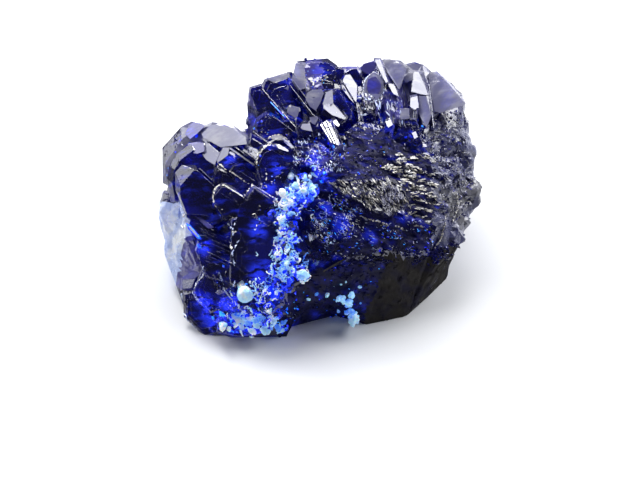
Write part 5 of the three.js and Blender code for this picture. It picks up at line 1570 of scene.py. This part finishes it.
def grain_finish(name, first, second, painted_self_glow, patch):
    """Milky grains, clouded between two settings, with emission that paints a glow in the same colours."""
    finish = Finish(name)
    shader = finish.shader
    clouds = finish.spread(finish.noise((patch, patch, patch), 3), 0.4, 0.58)
    finish.put(shader.inputs["Base Color"], finish.blend(clouds, (*first, 1), (*second, 1)))
    finish.put(shader.inputs["Emission Color"], finish.blend(clouds, (*first, 1), (*second, 1)))
    shader.inputs["Emission Strength"].default_value = painted_self_glow
    smudges = finish.spread(finish.noise((6, 6, 6), 2), 0.4, 0.6, 0.15, 0.45)
    finish.put(shader.inputs["Roughness"], smudges)
    shader.inputs["Subsurface Weight"].default_value = 0.6
    shader.inputs["Subsurface Radius"].default_value = (0.3, 0.6, 1.0)
    shader.inputs["Subsurface Scale"].default_value = 0.15 * MM
    finish.put(shader.inputs["Normal"], finish.bump(finish.noise((14, 14, 14), 3), 0.4, 0.03))
    return finish.material


# The trail of pale grains: place, spread of the patch, number of grains, smallest and largest radius.
CRUST_PATCHES = [
    (-1.75, 3.9, 0.16, 12, 0.06, 0.16), (-0.9, 3.7, 0.35, 16, 0.05, 0.14), (-0.4, 3.2, 0.3, 12, 0.05, 0.14),
    (-1.5, 3.0, 0.4, 20, 0.05, 0.14), (-2.2, 2.85, 0.22, 14, 0.05, 0.16), (-0.9, 2.4, 0.3, 12, 0.04, 0.12),
    (-1.8, 2.4, 0.35, 16, 0.04, 0.13), (-2.3, 2.0, 0.25, 12, 0.04, 0.11), (-2.4, 1.1, 0.3, 16, 0.04, 0.12),
    (-2.0, 0.5, 0.3, 14, 0.04, 0.12), (-2.2, -0.4, 0.35, 16, 0.04, 0.13), (-2.7, -0.9, 0.3, 14, 0.04, 0.13),
    (-1.6, -1.0, 0.35, 16, 0.04, 0.13), (-2.3, -1.5, 0.4, 22, 0.04, 0.14),
    (-1.05, -2.2, 0.25, 18, 0.05, 0.18), (-1.8, -2.1, 0.4, 22, 0.04, 0.14),
    (-2.9, -2.0, 0.35, 16, 0.04, 0.13), (-2.7, -3.2, 0.3, 12, 0.04, 0.12),
    (-4.6, -4.8, 0.3, 14, 0.05, 0.18), (-5.95, -5.25, 0.16, 8, 0.1, 0.24),
    (-4.3, -5.3, 0.35, 16, 0.06, 0.2), (-3.2, -4.9, 0.4, 16, 0.05, 0.16),
    (-2.5, -5.4, 0.35, 14, 0.05, 0.18), (-5.2, -4.7, 0.22, 10, 0.06, 0.18),
]
# Larger grains on the crust: place, radius, and 0 for a white grain or 1 for a sky blue one.
CRUST_LUMPS = [
    (-1.9, 2.3, 0.24, 0), (-1.4, 2.7, 0.26, 1), (-1.0, 3.0, 0.22, 0), (-0.6, 2.6, 0.2, 1),
    (-5.6, -5.5, 0.2, 0), (-4.1, -5.6, 0.26, 0), (-3.2, -5.7, 0.2, 0), (-1.75, 3.95, 0.24, 0),
    (-0.75, 3.45, 0.4, 1), (-0.45, 3.15, 0.28, 1), (-2.3, 2.85, 0.26, 0), (-2.7, 1.55, 0.2, 0),
    (-2.35, 1.3, 0.2, 0), (-1.75, 1.65, 0.22, 1), (-1.05, -2.2, 0.32, 1), (-2.0, -1.4, 0.2, 0),
    (-2.7, -3.25, 0.14, 0), (-0.55, 0.15, 0.2, 0), (-5.95, -5.3, 0.26, 0), (-5.3, -4.66, 0.22, 0),
    (-4.47, -5.15, 0.24, 1), (-3.9, -5.2, 0.3, 0), (-2.6, -5.3, 0.32, 1), (-2.2, -5.0, 0.24, 1),
    (-4.9, -5.4, 0.3, 0), (-3.4, -5.4, 0.34, 0), (-4.4, -4.9, 0.2, 0), (-2.9, -5.0, 0.26, 0),
    (-3.6, -4.8, 0.24, 1), (-2.4, -5.55, 0.26, 0), (-5.0, -4.55, 0.2, 0), (-1.4, 3.3, 0.3, 1),
    (-3.1, -3.3, 0.1, 0), (-4.3, -2.6, 0.1, 0), (-3.95, -2.4, 0.1, 0),
]
# Deep blue hollows between them: place, radius.
CRUST_HOLLOWS = [
    (-2.6, -1.6, 0.17), (-1.6, -1.55, 0.2), (-2.3, -1.0, 0.17), (-1.85, -0.2, 0.17), (-2.4, 0.2, 0.16),
    (-1.2, -1.75, 0.19), (-2.7, -2.45, 0.17), (-1.9, -2.55, 0.19), (-2.2, -1.95, 0.15), (-1.35, -0.6, 0.16),
    (-2.1, 0.8, 0.15), (-2.0, 1.35, 0.17), (-1.5, -1.15, 0.14), (-2.5, -0.6, 0.13), (-1.55, -2.05, 0.15),
]
# Walls round small hollows: place, spread, number, thinnest and thickest.
CRUST_LACE = [
    (-1.9, 2.3, 0.4, 6, 0.03, 0.05), (-1.5, 2.9, 0.4, 6, 0.03, 0.05), (-2.3, 2.0, 0.3, 4, 0.03, 0.045),
    (-0.9, 2.9, 0.4, 4, 0.03, 0.05), (-2.3, 0.8, 0.35, 5, 0.03, 0.045), (-2.0, 0.2, 0.35, 5, 0.03, 0.045),
    (-2.3, -0.5, 0.4, 7, 0.03, 0.045), (-1.6, -0.9, 0.35, 5, 0.03, 0.045),
    (-2.6, -1.1, 0.35, 5, 0.03, 0.045), (-2.1, -1.6, 0.4, 9, 0.03, 0.05),
    (-1.4, -2.0, 0.35, 6, 0.03, 0.05), (-2.3, -2.2, 0.4, 7, 0.03, 0.05), (-1.0, -1.5, 0.3, 4, 0.025, 0.04),
    (-3.2, -2.7, 0.4, 4, 0.025, 0.04), (-3.9, -3.0, 0.4, 4, 0.025, 0.04), (-3.3, -4.0, 0.4, 4, 0.025, 0.045),
    (-4.4, -4.6, 0.4, 4, 0.03, 0.05), (-3.2, -5.0, 0.4, 4, 0.03, 0.05),
]
# Wandering rows of small grains: place, spread, number of rows, smallest and largest radius.
CRUST_THREADS = [
    (-0.9, 3.7, 0.45, 4, 0.03, 0.06), (-0.4, 3.2, 0.4, 3, 0.03, 0.06), (-1.5, 3.0, 0.5, 5, 0.03, 0.06),
    (-1.9, 2.6, 0.3, 9, 0.03, 0.05), (-1.2, 3.3, 0.35, 9, 0.03, 0.05), (-4.0, -5.3, 0.7, 9, 0.03, 0.06),
    (-5.3, -4.9, 0.4, 4, 0.03, 0.05), (-2.2, 2.7, 0.35, 3, 0.03, 0.06), (-0.9, 2.4, 0.4, 3, 0.03, 0.05),
    (-1.8, 2.3, 0.4, 4, 0.03, 0.055), (-1.3, 4.8, 0.5, 3, 0.02, 0.045), (-0.3, 4.6, 0.5, 3, 0.02, 0.045),
    (-2.3, 1.8, 0.4, 3, 0.025, 0.05), (-1.4, 1.4, 0.5, 3, 0.025, 0.05), (-2.4, 1.0, 0.45, 4, 0.025, 0.055),
    (-2.0, 0.4, 0.45, 4, 0.025, 0.05), (-1.5, 0.0, 0.45, 3, 0.025, 0.05), (-2.3, -0.4, 0.45, 4, 0.025, 0.05),
    (-2.8, -0.9, 0.4, 3, 0.025, 0.05), (-1.5, -1.0, 0.45, 4, 0.025, 0.055),
    (-2.3, -1.5, 0.5, 5, 0.03, 0.06), (-1.1, -2.2, 0.35, 3, 0.03, 0.06), (-1.8, -2.1, 0.5, 5, 0.03, 0.06),
    (-2.9, -2.0, 0.45, 4, 0.03, 0.055), (-2.7, -2.9, 0.5, 4, 0.025, 0.05), (-3.4, -3.2, 0.5, 4, 0.025, 0.05),
    (-4.0, -2.9, 0.5, 4, 0.02, 0.045), (-3.7, -4.0, 0.45, 3, 0.025, 0.055),
    (-5.1, -4.5, 0.4, 3, 0.025, 0.06), (-4.4, -5.1, 0.6, 4, 0.03, 0.07), (-2.9, -5.2, 0.5, 4, 0.03, 0.07),
    (-3.7, -1.0, 0.35, 1, 0.02, 0.035),
    (-3.6, 0.6, 0.3, 1, 0.02, 0.035), (-5.2, -3.6, 0.35, 2, 0.02, 0.045), (0.1, 0.3, 0.5, 2, 0.02, 0.04),
    (-0.4, 1.4, 0.5, 2, 0.02, 0.035),
]

# The round grain and its neck: place, radius, how deep the middle lies, stretch, roughness, detail.
ROUND_GRAIN = [
    ((-4.63, -3.35), 0.54, 0.3, (1, 1.05, 0.95), 0.16, 4),
    ((-4.8, -2.85), 0.3, 0.2, (1, 1.2, 0.8), 0.3, 3),
]

# The heap at the foot: place, spread of the patch, number of grains, smallest and largest radius.
FOOT_PATCHES = [
    (2.05, -4.9, 0.2, 10, 0.06, 0.16), (1.08, -4.33, 0.12, 6, 0.06, 0.12),
    (1.95, -4.36, 0.15, 6, 0.05, 0.12), (1.76, -3.88, 0.12, 5, 0.05, 0.1), (1.1, -3.7, 0.1, 4, 0.04, 0.09),
    (1.93, -3.47, 0.12, 5, 0.04, 0.09),
]
# Larger grains at the foot: place, radius, and 0 for a white grain or 1 for a sky blue one.
FOOT_LUMPS = [
    (2.08, -4.95, 0.36, 0), (1.9, -4.75, 0.26, 1), (1.08, -4.33, 0.24, 1), (1.95, -4.36, 0.2, 1),
    (1.76, -3.88, 0.18, 1), (1.1, -3.7, 0.13, 1), (1.93, -3.47, 0.1, 1), (2.46, -2.92, 0.1, 1),
    (0.49, -3.4, 0.13, 0), (-0.2, -3.36, 0.1, 1), (-0.7, -3.68, 0.1, 1), (0.86, -2.84, 0.06, 1),
    (1.3, -2.75, 0.06, 1), (1.6, -2.6, 0.06, 1), (2.5, -3.9, 0.08, 1),
]


class GrowSeamCrust(bpy.types.Operator):
    """Pile pale grains along the seam between the two fans"""

    bl_idname = "azurite.grow_seam_crust"
    bl_label = "Grow the seam crust"

    # One flat white grain lies on the bed for this many of its own, and one sky blue grain for this many.
    BED_TO_WHITE = 14
    BED_TO_SKY = 6

    def execute(self, context):
        grains = Grains(seed=31)
        azurite = bpy.data.objects["azurite_blades"].data
        grains.fill("seam_crust", 0.2, DEEP_GRAIN)
        grains.pile(CRUST_PATCHES, grains.tree(azurite), DEEP_GRAIN)
        bed = grains.tree(azurite)
        for x, y, spread, count, low, high in CRUST_PATCHES:
            white = (x, y, spread, count // self.BED_TO_WHITE, low * 2.2, high * 1.5)
            sky = (x, y, spread, count // self.BED_TO_SKY, low * 1.5, high * 1.2)
            grains.pile([white], bed, WHITE_GRAIN, (1.6, 1.0, 0.4))
            grains.pile([sky], bed, SKY_GRAIN, (1.4, 1.0, 0.5))
        grains.lumps(CRUST_LUMPS, bed, 0.3, (1.2, 0.85, 0.7), 0.3)
        hollows = [(x, y, radius, DEEP_GRAIN) for x, y, radius in CRUST_HOLLOWS]
        grains.lumps(hollows, bed, -0.2, (1.4, 0.8, 0.5), 0.3)
        grains.lace(CRUST_LACE, bed)
        grains.threads(CRUST_THREADS, bed)
        grains.piece("seam_grains", ["seam_crust"], context.scene.pale_grains)
        return {"FINISHED"}


class GrowRoundGrain(bpy.types.Operator):
    """Set the big round grain low in the seam"""

    bl_idname = "azurite.grow_round_grain"
    bl_label = "Grow the round grain"

    def execute(self, context):
        grains = Grains(seed=5)
        for place, radius, depth, stretch, rough, detail in ROUND_GRAIN:
            hit, _ = touch(*place, WHOLE)
            grains.add(hit - TOWARDS_EYE * depth * MM, radius, stretch, rough, detail)
        grains.piece("round_grain_dressed", ["round_grain"], context.scene.pale_grains)
        return {"FINISHED"}


class GrowFootGrains(bpy.types.Operator):
    """Set the small heap of grains at the foot"""

    bl_idname = "azurite.grow_foot_grains"
    bl_label = "Grow the foot grains"

    def execute(self, context):
        grains = Grains(seed=13)
        grains.fill("foot_grains", 0.14, SKY_GRAIN)
        grains.pile(FOOT_PATCHES, WHOLE, SKY_GRAIN)
        grains.lumps(FOOT_LUMPS, WHOLE, 0.4, (1.3, 0.9, 0.9), 0.45)
        grains.piece("foot_grains_dressed", ["foot_grains"], context.scene.pale_grains)
        return {"FINISHED"}


class SetStage(bpy.types.Operator):
    """Set the floor, the soft dome, the soft boxes and the camera"""

    bl_idname = "azurite.set_stage"
    bl_label = "Set the stage"

    FLOOR_ROUGHNESS = 0.9
    DOME_TINT = (0.95, 0.96, 1, 1)
    # The dome dims from the first to the second of these, as its direction turns towards the eye.
    DIMMING = (0.15, 0.75)
    FARTHEST_SEEN = 10

    def execute(self, context):
        stage = context.scene.studio_stage
        self.lay_floor(context, stage)
        self.hang_dome(context, stage)
        self.hang_soft_boxes(context)
        self.place_camera(context)
        context.scene.view_settings.view_transform = "Standard"
        return {"FINISHED"}

    def lay_floor(self, context, stage):
        """A plain floor that belongs to the stage."""
        bm = bmesh.new()
        bmesh.ops.create_grid(bm, x_segments=1, y_segments=1, size=1.0)
        mesh = bpy.data.meshes.new("floor")
        bm.to_mesh(mesh)
        bm.free()
        floor = bpy.data.objects.new("floor", mesh)
        context.scene.collection.objects.link(floor)
        finish = Finish("plain_floor")
        finish.put(finish.shader.inputs["Base Color"], (*stage.floor_colour, 1))
        finish.put(finish.shader.inputs["Roughness"], self.FLOOR_ROUGHNESS)
        mesh.materials.append(finish.material)

    def hang_dome(self, context, stage):
        """A soft dome all round, dim on the side of the eye."""
        world = bpy.data.worlds.new("soft_dome")
        context.scene.world = world
        world.use_nodes = True
        nodes, links = world.node_tree.nodes, world.node_tree.links
        way = nodes.new("ShaderNodeTexCoord")
        nearness = nodes.new("ShaderNodeVectorMath")
        nearness.operation = "DOT_PRODUCT"
        links.new(way.outputs["Generated"], nearness.inputs[0])
        nearness.inputs[1].default_value = TOWARDS_EYE
        dimming = nodes.new("ShaderNodeMapRange")
        dimming.interpolation_type = "SMOOTHSTEP"
        links.new(nearness.outputs["Value"], dimming.inputs["Value"])
        dimming.inputs["From Min"].default_value = self.DIMMING[0]
        dimming.inputs["From Max"].default_value = self.DIMMING[1]
        dimming.inputs["To Min"].default_value = stage.dome
        dimming.inputs["To Max"].default_value = stage.hollow
        background = nodes["Background"]
        background.inputs["Color"].default_value = self.DOME_TINT
        links.new(dimming.outputs["Result"], background.inputs["Strength"])

    def hang_soft_boxes(self, context):
        """The soft boxes, each turned to the middle of the cluster."""
        for name, (place, width, height, brightness, tint) in SOFT_BOXES.items():
            light = bpy.data.lights.new(name, "AREA")
            light.shape = "RECTANGLE"
            light.size = width * MM
            light.size_y = height * MM
            light.energy = brightness * math.pi * light.size * light.size_y
            light.color = tint
            box = bpy.data.objects.new(name, light)
            context.scene.collection.objects.link(box)
            box.location = place * MM
            box.rotation_euler = (-place).to_track_quat("-Z", "Y").to_euler()

    def place_camera(self, context):
        """The camera at the eye that the front is drawn for."""
        data = bpy.data.cameras.new("camera")
        camera = bpy.data.objects.new("camera", data)
        context.scene.collection.objects.link(camera)
        data.sensor_width = SENSOR_WIDTH
        data.lens = SENSOR_WIDTH * FOCAL_PIXELS / PICTURE_WIDTH
        data.clip_start = MM
        data.clip_end = self.FARTHEST_SEEN
        camera.location = EYE
        camera.rotation_euler = (math.pi / 2 - LOOK_DOWN, 0, 0)
        context.scene.camera = camera


class AzuritePanel(bpy.types.Panel):
    """Lists the steps that build the cluster"""

    bl_idname = "AZURITE_PT_cluster"
    bl_label = "Azurite cluster"
    bl_space_type = "VIEW_3D"
    bl_region_type = "UI"
    bl_category = "Azurite"

    def draw(self, context):
        for operator in OPERATORS:
            self.layout.operator(operator.bl_idname)


OPERATORS = (SetStage, GrowCluster, GrowSeamCrust, GrowRoundGrain, GrowFootGrains)
CLASSES = (AzuriteGlass, PaleGrains, StudioStage, *OPERATORS, AzuritePanel)


def register():
    for one in CLASSES:
        bpy.utils.register_class(one)
    bpy.types.Scene.azurite_glass = PointerProperty(type=AzuriteGlass)
    bpy.types.Scene.pale_grains = PointerProperty(type=PaleGrains)
    bpy.types.Scene.studio_stage = PointerProperty(type=StudioStage)


def unregister():
    del bpy.types.Scene.studio_stage
    del bpy.types.Scene.pale_grains
    del bpy.types.Scene.azurite_glass
    for one in reversed(CLASSES):
        bpy.utils.unregister_class(one)


def main():
    register()
    for operator in OPERATORS:
        group, name = operator.bl_idname.split(".")
        getattr(getattr(bpy.ops, group), name)()


if __name__ == "__main__":
    main()
